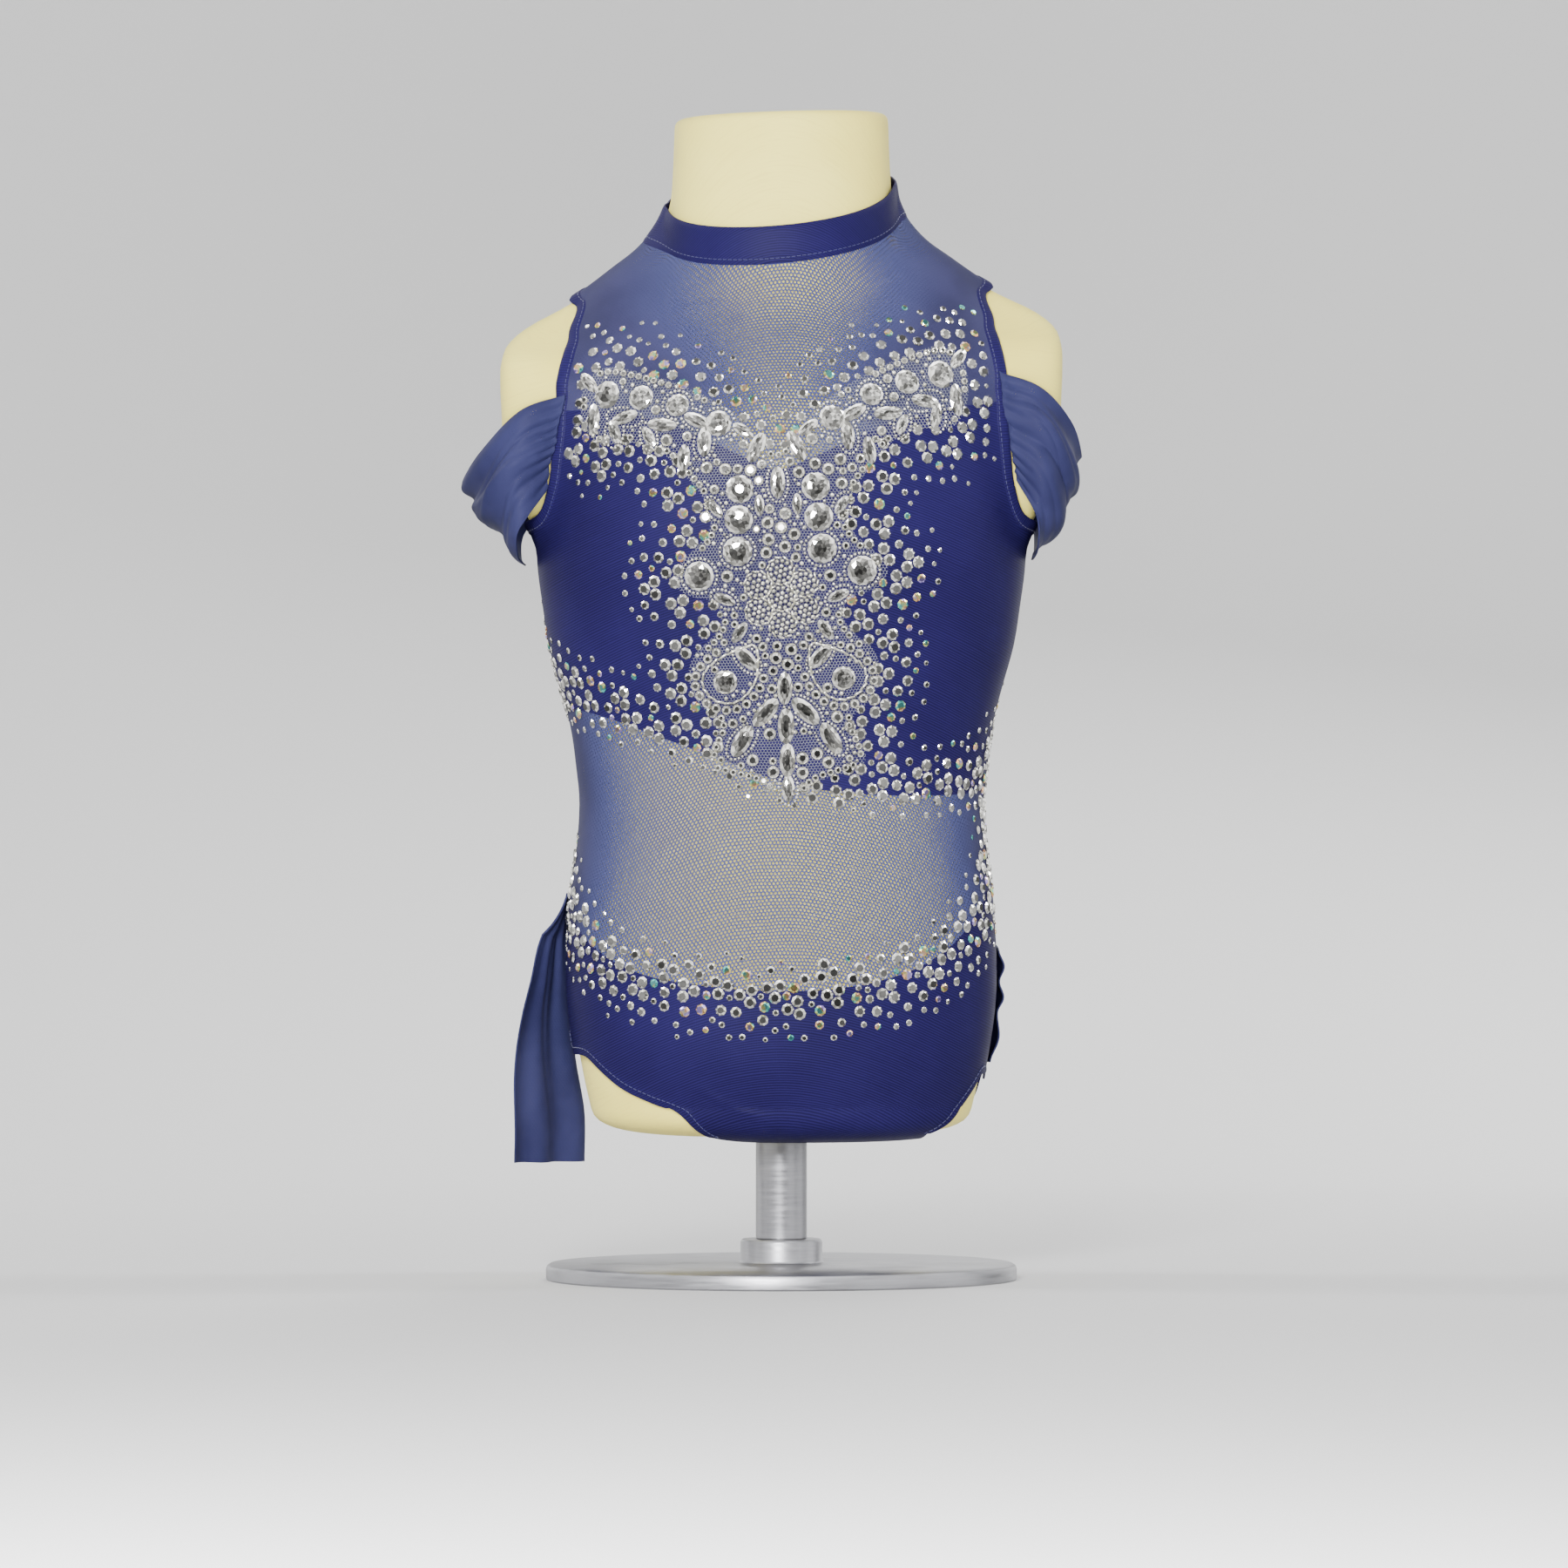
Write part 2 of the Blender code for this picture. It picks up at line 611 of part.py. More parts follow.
def build_back(seams, materials):
    left_under = seams["left_armhole_3"][-1, 1]
    right_under = seams["right_armhole_3"][-1, 1]
    right_corner = seams["right_armhole_2"][-1:]
    left_corner = seams["left_armhole_2"][-1:]
    yoke_edge = spaced(np.concatenate([right_corner, back_chart(BACK_YOKE_EDGE), left_corner]), 22)
    yoke = patch(
        yoke_edge,
        collar_line(90, 270, 22),
        chain(seams["right_armhole_2"][::-1], seams["right_shoulder_back"]),
        chain(seams["left_armhole_2"][::-1], seams["left_shoulder_back"]),
    )
    make_panel("back_yoke", yoke, materials["navy_mesh"])
    body = patch(
        chain(seams["right_leg_back"], seams["gusset_back"], seams["left_leg_back"]),
        yoke_edge,
        chain(side_line(90, RIGHT_LEG, right_under, BACK_ROWS, CROWDING), seams["right_armhole_3"][::-1]),
        chain(side_line(270, LEFT_LEG, left_under, BACK_ROWS, CROWDING), seams["left_armhole_3"][::-1]),
        CROWDING,
    )
    make_panel("back_body", body, materials["navy_stretch"])


def build_gusset(seams, materials):
    """The crotch piece, charted in plan because it lies under the form."""
    front = skin(seams["gusset_front"])[:, :2]
    back = skin(seams["gusset_back"])[::-1, :2]
    left = spaced(GUSSET_LEFT, 8, lift=underside)
    right = spaced(GUSSET_RIGHT, 8, lift=underside)
    base = draw_in(underside(patch(front, back, left, right, fade=1.0)), SEAM_GAP / 2)
    away = normal(base)
    inner = base + away * CLOTH_GAP
    make_wall("gusset", inner, inner + away * CLOTH_WALL, materials["navy_stretch"])


def build_collar(materials):
    columns = 40
    turns = np.linspace(-180, 180, columns, endpoint=False)
    rises = np.linspace(0, COLLAR_HEIGHT, 3)[:, None]
    chart = np.stack([turns + 0 * rises, collar_height(turns) + rises], axis=-1)
    make_panel("collar", chart, materials["navy_stretch"], wall=COLLAR_WALL, ring=True)


def build_binding(name, seams, side, materials):
    """The band that finishes an armhole, fuller along its middle."""
    arm_edge = seams[side + "_arm_edge"]
    body_edge = seams[side + "_body_edge"]
    base = settle(np.stack([arm_edge, (arm_edge + body_edge) / 2, body_edge]))
    base = draw_in(base, SEAM_GAP / 2, round_trip=True)
    away = normal(base)
    fullness = np.array([0.0, BINDING_WALL - CLOTH_WALL, 0.0])[:, None, None]
    inner = base + away * CLOTH_GAP
    make_wall(name, inner, inner + away * (CLOTH_WALL + fullness), materials["navy_stretch"], ring=True)


def sheet_normals(grid):
    across = np.gradient(grid, axis=1)
    down = np.gradient(grid, axis=0)
    face = np.cross(across, down)
    return face / np.linalg.norm(face, axis=-1, keepdims=True)


def free_wall(name, grid, wall, material):
    """A wall of free-hanging cloth around a grid, on the side away from the form."""
    away = sheet_normals(grid)
    outward = np.sign(np.sum(away * normal(grid), axis=-1).mean())
    make_wall(name, grid, grid + away * outward * wall, material)


def build_sleeve(name, guides, material):
    """An off-shoulder drape that loops round the arm stump in soft folds."""
    stations = [np.array(s, float) for s in guides]
    mirrored = [np.stack([s[:, 0], SLEEVE_MIRROR_Y - s[:, 1], s[:, 2]], axis=1) for s in stations]
    loop = np.stack(stations + mirrored[-2::-1])
    along = smooth_curve(np.linspace(0, 1, len(loop)), loop.reshape(len(loop), -1))
    u = np.linspace(0, 1, 18)
    lines = along(u).reshape(len(u), 3, 3)
    v = np.linspace(0, 1, 9)
    across = smooth_curve(np.array([0, 0.5, 1]), lines.transpose(1, 0, 2).reshape(3, -1))
    grid = across(v).reshape(len(v), len(u), 3)
    ease = np.sin(np.pi * np.clip(u, 0.04, 0.96))[None, :] ** 0.6
    wave = np.sin(2 * np.pi * SLEEVE_WAVES * v)[:, None] * ease * SLEEVE_WAVE_DEPTH
    grid = grid + sheet_normals(grid) * wave[..., None]
    free_wall(name, keep_clear(grid, OVERLAY_CLEARANCE), MESH_WALL, material)


def build_tail(material):
    """The sash's hanging end, on the hip at its top and free below."""
    rows, columns = 13, 7
    edges = []
    for table in (TAIL_OUTER, TAIL_INNER):
        line = smooth_curve(np.linspace(0, 1, len(table)), np.array(table, float))
        edges.append(line(np.linspace(0, 1, rows)))
    u = np.linspace(0, 1, columns)[None, :, None]
    grid = edges[0][:, None] * (1 - u) + edges[1][:, None] * u
    drop = np.linspace(0, 1, rows)[:, None]
    wave = np.sin(2 * np.pi * TAIL_FOLDS * u[..., 0]) * TAIL_FOLD_DEPTH * (0.35 + 0.65 * drop)
    grid = keep_clear(grid + sheet_normals(grid) * wave[..., None], OVERLAY_CLEARANCE)
    held = np.clip(1 - drop / TAIL_SEWN_SHARE, 0, 1)[..., None]
    grid = grid * (1 - held) + settle(grid, SEATED_CLEARANCE) * held
    free_wall("side_tail", grid, MESH_WALL, material)


def build_drape(material):
    """The sash's stretch over the seat, in soft lengthwise folds."""
    rows, columns = 10, 21
    table = np.array(DRAPE, float)
    line = smooth_curve(table[:, 0], table[:, 1:])
    turns = np.linspace(table[0, 0], table[-1, 0], columns)
    middle, half = line(turns).T
    v = np.linspace(-1, 1, rows)[:, None]
    chart = np.stack([turns + 0 * v, middle + half * v], axis=-1)
    fold = 0.5 - 0.5 * np.cos(np.pi * DRAPE_FOLDS * (v + 1)) + 0 * turns
    lift = SEATED_CLEARANCE + DRAPE_FOLD_DEPTH * fold
    base = skin(chart)
    away = normal(base)
    inner = base + away * lift[..., None]
    make_wall("back_drape", inner, inner + away * MESH_WALL, material)


def turned(x, h):
    """Applique places tilted with the garment."""
    cx, ch = APPLIQUE_CENTRE
    c, s = math.cos(APPLIQUE_TURN), math.sin(APPLIQUE_TURN)
    dx, dh = x, h - ch
    return cx + c * dx - s * dh, ch + s * dx + c * dh


def inside_outline(x, h, outline, margin):
    """Whether a place lies in the outline and no nearer to it than the margin."""
    odd = False
    nearest = 1e9
    for (ax, ah), (bx, bh) in zip(outline, outline[1:] + outline[:1]):
        if (ah > h) != (bh > h) and x < ax + (bx - ax) * (h - ah) / (bh - ah):
            odd = not odd
        span = (bx - ax) ** 2 + (bh - ah) ** 2
        u = max(0.0, min(1.0, ((x - ax) * (bx - ax) + (h - ah) * (bh - ah)) / span))
        nearest = min(nearest, math.hypot(x - ax - u * (bx - ax), h - ah - u * (bh - ah)))
    return odd and nearest >= margin


def build_applique(material):
    """Crystals and beads on net: one wall, domed over its large stones."""
    outline = list(APPLIQUE_EDGE) + [(-x, h) for x, h in APPLIQUE_EDGE[-2:0:-1]]
    stones = [(side * x, h, r) for x, h, r in STONES for side in (1, -1)] + [BOSS]
    places = [(x, h, 0.0) for x, h in outline]
    for x, h, r in stones:
        sides = 8
        places.append((x, h, r * STONE_RISE))
        for i in range(sides):
            a = 2 * math.pi * i / sides
            places.append((x + r * math.cos(a), h + r * math.sin(a), 0.5))
    low = min(h for _, h in outline)
    high = max(h for _, h in outline)
    rows = int((high - low) / APPLIQUE_SPACING)
    for row in range(rows + 1):
        h = low + (row + 0.5) * APPLIQUE_SPACING
        for column in range(-10, 11):
            x = (column + 0.5 * (row % 2)) * APPLIQUE_SPACING
            if not inside_outline(x, h, outline, APPLIQUE_EDGE_MARGIN):
                continue
            if any(math.hypot(x - sx, h - sh) < r + 3.0 for sx, sh, r in stones):
                continue
            places.append((x, h, 0.6))
    flat = [Vector((x, h)) for x, h, _ in places]
    loop = list(range(len(outline)))
    faces = delaunay_2d_cdt(flat, [], [loop], INSIDE_ONLY, 1e-5)[2]
    tilted = np.array([turned(x, h) for x, h, _ in places])
    base = facing(tilted, -1)
    away = normal(base)
    inner = base + away * (CLOTH_GAP + CLOTH_WALL + APPLIQUE_CLEARANCE)
    rise = APPLIQUE_WALL + np.array([p[2] for p in places])
    outer = inner + away * rise[:, None]
    wall_from_triangles("crystal_applique", inner, outer, faces, material)


def wall_from_triangles(name, inner, outer, faces, material):
    """A wall from one net of triangles: its inner and outer faces joined along the rim."""
    count = len(inner)
    border = {}
    for face in faces:
        for a, b in zip(face, face[1:] + face[:1]):
            if (b, a) in border:
                del border[(b, a)]
            else:
                border[(a, b)] = True
    solid = [tuple(i + count for i in f) for f in faces] + [tuple(reversed(f)) for f in faces]
    for a, b in border:
        solid.append((a, b, b + count))
        solid.append((a, b + count, a + count))
    points = place(np.concatenate([inner, outer]))
    make_object(name, points, solid, material)


def build_form(material):
    """The limbless form: a torso with shoulder caps, a plain neck top and a rounded underside."""
    quarter = np.array(FORM_COLUMNS, float)
    half = np.concatenate([quarter, 180 - quarter[-2::-1]])
    turns = np.radians(np.concatenate([half, 360 - half[-2:0:-1]]))
    columns = len(turns)
    angle = np.arctan2(GIRTH_STRETCH * np.sin(turns), np.cos(turns))
    rings = []
    for share in UNDERSIDE_SHARES:
        height = UNDERSIDE_HEIGHT * (1 - (1 - share**UNDERSIDE_SQUARENESS) ** (1 / UNDERSIDE_SQUARENESS))
        rings.append((height, share, 0.0))
    for height in FORM_RINGS:
        rings.append((height, 1.0, 0.0))
    for height, inset in ((FORM_TOP - 4, 0.0), (FORM_TOP - 1.2, 1.2), (FORM_TOP, 4.0)):
        rings.append((height, 1.0, inset))
    points = []
    for height, share, inset in rings:
        reach = section_radius(angle, 0 * angle + height) * share - inset
        points.append(np.stack([reach * np.sin(angle), -reach * np.cos(angle), 0 * angle + height], axis=-1))
    points = np.concatenate(points)
    bottom = np.array([[0, 0, 0.0]])
    top = np.array([[0, 0, FORM_TOP]])
    faces = []
    for r in range(len(rings) - 1):
        for c in range(columns):
            e = (c + 1) % columns
            faces.append((r * columns + c, r * columns + e, (r + 1) * columns + e))
            faces.append((r * columns + c, (r + 1) * columns + e, (r + 1) * columns + c))
    last = (len(rings) - 1) * columns
    for c in range(columns):
        e = (c + 1) % columns
        faces.append((e, c, len(points)))
        faces.append((last + c, last + e, len(points) + 1))
    make_object("form_body", place(np.concatenate([points, bottom, top])), faces, material)


def turned_solid(name, profile, sides, material):
    """A solid turned about the form's axis, from radius and height above the floor."""
    points = []
    for radius, height in profile:
        for i in range(sides):
            a = 2 * math.pi * i / sides
            points.append((FORM_X + radius * math.cos(a), radius * math.sin(a), height))
    faces = []
    for r in range(len(profile) - 1):
        for c in range(sides):
            e = (c + 1) % sides
            faces.append((r * sides + c, r * sides + e, (r + 1) * sides + e, (r + 1) * sides + c))
    faces.append(tuple(reversed(range(sides))))
    last = (len(profile) - 1) * sides
    faces.append(tuple(last + i for i in range(sides)))
    make_object(name, np.array(points) * MM, faces, material, crisp=50)


def build_stand(material):
    """A plain round foot with a boss, and the pole that carries the form."""
    edge = BASE_ROUNDING
    profile = [
        (BASE_RADIUS, 0), (BASE_RADIUS, BASE_HEIGHT - edge),
        (BASE_RADIUS - 0.3 * edge, BASE_HEIGHT - 0.3 * edge), (BASE_RADIUS - edge, BASE_HEIGHT),
        (BOSS_RADIUS, BASE_HEIGHT),
        (BOSS_RADIUS, BOSS_HEIGHT - 1.5), (BOSS_RADIUS - 1.5, BOSS_HEIGHT),
    ]
    turned_solid("stand_base", profile, 30, material)
    low = BOSS_HEIGHT + SEAM_GAP
    high = FORM_BOTTOM - SEAM_GAP
    turned_solid("stand_pole", [(POLE_RADIUS, low), (POLE_RADIUS, high)], 24, material)


def main():
    clear_scene()
    materials = {name: make_material(name) for name in FINISHES}
    seams = build_seams()
    build_form(materials["form_cloth"])
    build_stand(materials["stand_metal"])
    build_front(seams, materials)
    build_back(seams, materials)
    build_gusset(seams, materials)
    build_collar(materials)
    build_binding("armhole_binding_left", seams, "left", materials)
    build_binding("armhole_binding_right", seams, "right", materials)
    build_sleeve("sleeve_left", SLEEVE_LEFT, materials["navy_mesh"])
    build_sleeve("sleeve_right", SLEEVE_RIGHT, materials["navy_mesh"])
    build_drape(materials["navy_mesh"])
    build_tail(materials["navy_mesh"])
    build_applique(materials["crystal"])


main()
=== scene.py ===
"""The dance leotard on its dress form: fine cloth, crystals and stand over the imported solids.

Sizes are in millimetres in the form's own coordinates, and place() turns them into the
frame's metres. The front faces -Y, +X is the viewer's right and +Z is up.
"""

import math
import random

import bmesh
import bpy
import numpy as np
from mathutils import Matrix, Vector
from mathutils.geometry import delaunay_2d_cdt


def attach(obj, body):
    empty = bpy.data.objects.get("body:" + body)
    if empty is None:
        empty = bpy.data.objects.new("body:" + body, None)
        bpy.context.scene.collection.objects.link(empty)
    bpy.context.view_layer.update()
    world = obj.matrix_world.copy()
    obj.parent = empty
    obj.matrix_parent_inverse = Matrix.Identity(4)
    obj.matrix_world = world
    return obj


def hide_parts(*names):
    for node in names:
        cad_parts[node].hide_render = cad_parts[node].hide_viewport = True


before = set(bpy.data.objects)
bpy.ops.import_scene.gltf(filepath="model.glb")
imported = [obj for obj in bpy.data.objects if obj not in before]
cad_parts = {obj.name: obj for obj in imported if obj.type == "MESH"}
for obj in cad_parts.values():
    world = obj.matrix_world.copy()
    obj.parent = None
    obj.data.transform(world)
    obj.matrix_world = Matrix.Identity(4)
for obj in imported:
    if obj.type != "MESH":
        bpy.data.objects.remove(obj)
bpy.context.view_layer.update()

MM = 0.001
BODY = "root"

# Where the form stands
FORM_BOTTOM = 70.0
FORM_TOP = 498.0
FORM_X = 5.0
LEAN = 0.031
LEAN_HEIGHTS = (300.0, 390.0)

# Camera, with the photo's scale and centre
CAMERA_DISTANCE = 4800.0
FRAME_WIDTH = 766.0
FRAME_CENTRE = (6.3, 242.0)
SENSOR = 36.0

# Three lobes, as height, half width, depth to the front, depth to the back
TRUNK = (
    (16, 94, 58, 66), (25, 96.2, 61, 70), (36, 98.4, 64, 75), (50, 100.8, 66, 80),
    (70, 103, 67, 82), (90, 103, 68, 80), (105, 102.3, 69, 76), (120, 101, 70, 71),
    (135, 98.6, 70, 66), (150, 97.2, 69, 62), (165, 96.7, 67.5, 60), (180, 98.2, 67, 60),
    (200, 101, 68, 62), (220, 106, 70, 65), (240, 111.6, 73, 68), (260, 114.8, 75.5, 71),
    (280, 117.3, 77, 73.5), (300, 117, 77, 75), (320, 115, 75.5, 75.5), (340, 113.5, 72, 75),
    (360, 112, 66, 73), (375, 112, 59, 68), (388, 110, 51.5, 61), (399.6, 104, 44, 53),
    (408, 98.5, 38, 46), (415.7, 92, 33, 39), (424.3, 82, 27, 32), (432.8, 70, 21, 24),
    (441.3, 60, 14, 15), (449.8, 51, 8, 8), (460, 40, 5, 5), (475, 30, 4, 4),
)
NECK = (
    (330, 30, 30, 30), (360, 50, 44, 50), (400, 55, 46, 53), (424, 56.5, 47, 54),
    (441, 56, 46.5, 54), (454, 54.3, 46, 54), (470, 53.4, 46, 53.5), (497, 52.3, 46, 53),
)
SHOULDER_CAP = (
    (282, 60, 10, 10), (290, 92, 18, 18), (300, 111, 26, 26), (311, 121.5, 31, 31),
    (325, 130, 34, 34), (340, 134, 36, 36), (348.5, 134.3, 36, 36), (357, 134.8, 36, 36),
    (370, 135.4, 36, 36), (382.6, 134.8, 30, 30), (391, 131.4, 20, 20), (399.6, 119.8, 13, 13),
    (408, 99, 8, 8), (415, 80, 6, 6), (430, 40, 4, 4),
)
TRUNK_SQUARENESS = 2.25
NECK_SQUARENESS = 2.1
CAP_SQUARENESS = 5.0
LOBE_BLEND = 9.0
FORM_EASE = 0.8
UNDERSIDE_HEIGHT = 22.0
UNDERSIDE_SQUARENESS = 4.0
RAY_CENTRE = 60.0
GIRTH_STRETCH = 1.5

# Cloth over the form: where its inside lies, and how thick it looks
STRETCH_INSIDE = 2.0
STRETCH_THICK = 0.7
NET_INSIDE = 2.05
NET_THICK = 0.6
COLLAR_THICK = 1.3
COLLAR_HEIGHT = 18.4
BINDING_THICK = 1.35
BINDING_WIDTH = 6.2
HEM_WIDTH = 4.6
HEM_EXTRA = 0.35
SEATED_CLEARANCE = 3.7
OVERLAY_CLEARANCE = 4.4

# Stations along the seams: fine ones for each coarse one, and the coarse rows of each panel
DETAIL = 4
ARMHOLE_STEPS = 8
GUSSET_STEPS = 8
FRONT_STEPS = 22
BRIEF_ROWS = 13
BACK_ROWS = 16
CROWDING = 1.5

# The applique's net: grid, height over the cloth and thickness
BACKING_SPACING = 2.6
BACKING_LIFT = 0.12
BACKING_THICK = 0.3

# Distances between ribs, wales, net threads and the form cover's threads
RIB_PITCH = 1.25
WALE_PITCH = 0.9
NET_PITCH = 1.85
FINE_NET_PITCH = 1.5
LINEN_PITCH = 0.8

# How much wider the net's threads get where it is drawn closed, and where that is: as the form
# turns to the side, and across the yoke from its middle. The same share paints the power net's
# threads lighter where it is open, painted light, and darker where it closes, painted shade
CLOSED_SHARE = 0.24
CLOSES_FROM, CLOSES_TO = 0.86, 0.25
YOKE_FROM, YOKE_OPEN, YOKE_CLOSED = 320.0, 34.0, 86.0
YOKE_LOW, YOKE_FALL, YOKE_LOW_SHARE = 402.0, 60.0, 0.6

# Side seams, as heights
LEFT_LEG, LEFT_BRIEF_TOP, LEFT_HEM = 53.0, 128.0, 212.0
RIGHT_LEG, RIGHT_HEM = 41.0, 170.0
RISER_T, RISER_HEM = 84.0, 169.3

# Seams on the front, as x and height
NECKLINE = ((-80, 353), (-60, 348), (-40, 340), (-20, 330), (-2, 323),
            (16, 329), (36, 338), (56, 346), (78, 351))
HEM = ((-84, 205), (-58, 195), (-28.5, 184), (3.4, 172), (27, 168), (52, 166.4), (76, 166.6))
BRIEF_TOP = ((-97.4, 104), (-84, 89), (-67, 80.4), (-41, 75.3), (-20, 73.2), (5.5, 72.3),
             (27, 73.6), (48, 77.4), (65, 83.4), (80, 93.2), (90.6, 106))
RISER = ((97, 121),)
RISER_SIDE = ((79, 137), (82.5, 155))
LEFT_LEG_FRONT = ((-100, 46), (-91, 39), (-84, 32), (-76, 25.5), (-62, 18.7), (-47, 12))
RIGHT_LEG_FRONT = ((82.5, 12), (87, 18.7), (91.5, 25.5), (94.5, 31))
LEFT_LEG_BACK = ((-53, 7), (-69, 14), (-85, 25), (-95, 38))
RIGHT_LEG_BACK = ((96, 32), (92, 20), (85, 10))
BACK_YOKE_EDGE = ((70, 357), (35, 359), (0, 360), (-35, 359), (-70, 357))

# The stitching above a leg edge, and the place that "above" is told from
LEG_STITCH_INSET = 3.4
LEG_LINES_FACE = np.array([0.0, 0.0, 150.0])

# The gusset under the form, as x and y
GUSSET_FRONT = ((-33, -44), (0, -43), (35, -39), (70, -30))
RIGHT_LEG_UNDER = ((76, -30.5),)
GUSSET_BACK = ((-35, 48), (0, 52), (40, 43), (70, 31))
GUSSET_LEFT = ((-33, -44), (-10, -31), (11, -16), (18, 1), (11, 19), (-11, 35), (-35, 48))
GUSSET_RIGHT = ((70, -30), (67.5, -15), (67, 0), (67.5, 15), (70, 31))

# The armhole's arm side, as x and height from the underarm to the V line, and on to the ridge
UNDERARM, RIDGE = 300.0, 412.0
ARMHOLE_LOW = ((115, 306), (112, 316), (110.5, 328), (109.5, 342), (109, 355))
ARMHOLE_HIGH = ((108.5, 365), (106, 380), (102, 395), (98.5, 405))

# Sleeve guide lines: for each station the top, the belly and the lower edge
SLEEVE_RIGHT = (
    ((105, -41, 369), (109, -41, 345), (113, -37, 321)),
    ((126, -42, 361), (129, -45, 334), (124, -42, 300)),
    ((141, -26, 345), (140, -30, 312), (125, -28, 286)),
    ((146.4, 4, 331), (139, 4, 306), (123, 4, 281)),
)
SLEEVE_LEFT = (
    ((-104, -41, 363), (-109, -41, 339), (-114, -37, 316)),
    ((-126, -43, 355), (-131, -46, 327), (-126, -42, 297)),
    ((-146, -27, 334), (-143, -30, 308), (-127, -28, 284)),
    ((-155.3, 4, 320), (-147, 4, 304), (-124, 4, 280)),
)
SLEEVE_MIRROR_Y = 8.0
SLEEVE_WAVES = 2.4
SLEEVE_WAVE_DEPTH = 1.8
SLEEVE_THICK = 0.8
# Creases in a sleeve, as place across it, slant towards its middle, width and depth
SLEEVE_CREASES = ((0.26, 0.55, 0.035, 0.9), (0.5, -0.4, 0.04, 1.0), (0.72, 0.5, 0.035, 0.8),
                  (0.4, 0.9, 0.03, 0.7), (0.86, 0.25, 0.03, 0.5))

# Soft ridges low on the brief, as x, height, reach, tilt in degrees, width and depth
BRIEF_CREASES = (
    (-20, 16, 17, 24, 1.6, 0.5), (-12, 12, 20, 15, 1.5, 0.45), (-31, 21, 12, 34, 1.4, 0.4),
    (16, 9, 16, 8, 1.6, 0.4), (40, 14, 14, -12, 1.7, 0.4), (62, 24, 12, -35, 1.6, 0.35))

# The tail's two edges, as x, y and height from the hip down
TAIL_OUTER = ((-106.5, -5, 118.7), (-113, -4, 105), (-117.9, -3, 93), (-121.7, -1, 76),
              (-126, 1, 59), (-129, 4, 42), (-130.2, 6, 25), (-129.8, 9, 2), (-130.2, 12, -13.6))
TAIL_INNER = ((-106, 17, 118), (-106, 20, 100), (-105, 26, 80), (-104, 34, 60),
              (-101, 40, 35), (-97, 44, 10), (-97, 45, -14))
TAIL_SEWN_SHARE = 0.2
TAIL_FOLDS = 2.0
TAIL_FOLD_DEPTH = 1.6

# The drape over the seat: direction, middle height and half width
DRAPE = ((93, 68, 22), (120, 72, 26), (180, 86, 30), (225, 98, 22), (249, 105, 15))
DRAPE_FOLDS = 3.0
DRAPE_FOLD_DEPTH = 2.4

# The applique's right half from the V down to its tip, as x and height
APPLIQUE_EDGE = (
    (0, 330), (8, 338), (20, 352), (34, 361), (50, 369), (66, 375), (82, 379), (92, 370),
    (93, 353), (85, 338), (72, 340), (62, 338), (52, 332), (44, 322), (36, 312), (31, 300),
    (36, 290), (48, 280), (52, 273), (46, 264), (32, 262), (28, 252), (34, 243), (44, 236),
    (46, 222), (40, 210), (30, 203), (36, 192), (38, 180), (26, 176), (12, 172), (8, 166),
    (0, 163),
)
APPLIQUE_CENTRE = (-2.0, 322.0)
APPLIQUE_TURN = math.radians(2.0)
APPLIQUE_FLOOR = 3.35

# Its large stones, as x, height and radius, for the right half
LARGE_ROUNDS = ((18, 314, 6.9), (19, 299.5, 7.0), (20, 284.5, 7.2), (38.5, 273.5, 7.2),
                (27, 346, 6.4), (46, 356, 5.8), (63, 361, 6.2), (79, 364, 6.9), (28, 222.5, 5.9))
# Marquises, as x, height, half length and the direction of their long axis in degrees
MARQUISES = (
    (0, 316.5, 7.0, 90), (9.5, 333.5, 7.2, 118), (34, 337.5, 6.6, 100), (15.5, 342, 5.2, 40),
    (37, 348, 6.4, 35), (53.5, 347, 6.6, 22), (71, 352, 6.4, 12), (86, 352, 7.2, 120),
    (76, 345, 5.8, 95), (44, 330, 6.2, 110), (60, 341.5, 5.0, 80), (88, 371, 5.6, 70),
    (30, 305, 4.6, 60), (9, 306, 4.6, 90), (27, 262, 5.0, 30), (20.5, 246, 5.2, 130),
    (17.5, 233.5, 6.8, 52), (0, 218.5, 7.2, 90), (9.5, 207, 7.8, 135), (0, 200, 7.8, 90),
    (21, 193.5, 7.8, 128), (0, 183.5, 7.4, 90), (0, 169.5, 6.0, 90),
)
FLOWER = (0.0, 262.0)
FLOWER_PETALS = 6
FLOWER_REACH = 12.6
FLOWER_PETAL = 5.6
PETAL_BUGLES = 11
# The drop loop round the lower round stone: a pear outline, as x and height
DROP_LOOP = ((12.5, 240.5), (20, 238.5), (29, 235), (37, 229.5), (39.5, 222), (35, 214.5),
             (27, 211.5), (19.5, 214), (13.5, 222), (12, 231))
# Windows where the net shows bare, as x, height and radius
BARE_NET = ((22, 330, 6.5), (26, 318, 4.0), (46, 340, 4.0), (33, 283, 3.0), (23, 228, 8.5),
            (33, 221, 7.5), (9, 190, 6.0), (12, 180, 5.0), (63, 352, 3.0), (11, 291, 2.5))

# Stones and beads that fill the applique, as radius and the most of each
CUP_FILL = ((3.1, 60), (2.5, 130), (1.9, 150))
BEAD_FILL = ((1.2, 110), (0.9, 150))
FILL_TRIES = 9000
MARQUISE_GROWTH = 1.12
MARQUISE_WAIST = 0.46

# The glued stones: trios first, then single ones as radius, least wish for one, the most of
# them, the least gap, the share of the places tried and the share with a rainbow coat
STONE_TRIES = 90000
TRIO_RADIUS = 3.05
TRIO_MOST = 190
SINGLES = ((2.75, 0.35, 260, 0.25, 0.4, 0.3), (2.2, 0.22, 520, 0.2, 0.7, 0.3),
           (1.6, 0.06, 900, 0.25, 1.0, 0.16), (1.25, 0.03, 520, 0.7, 1.0, 0.16))

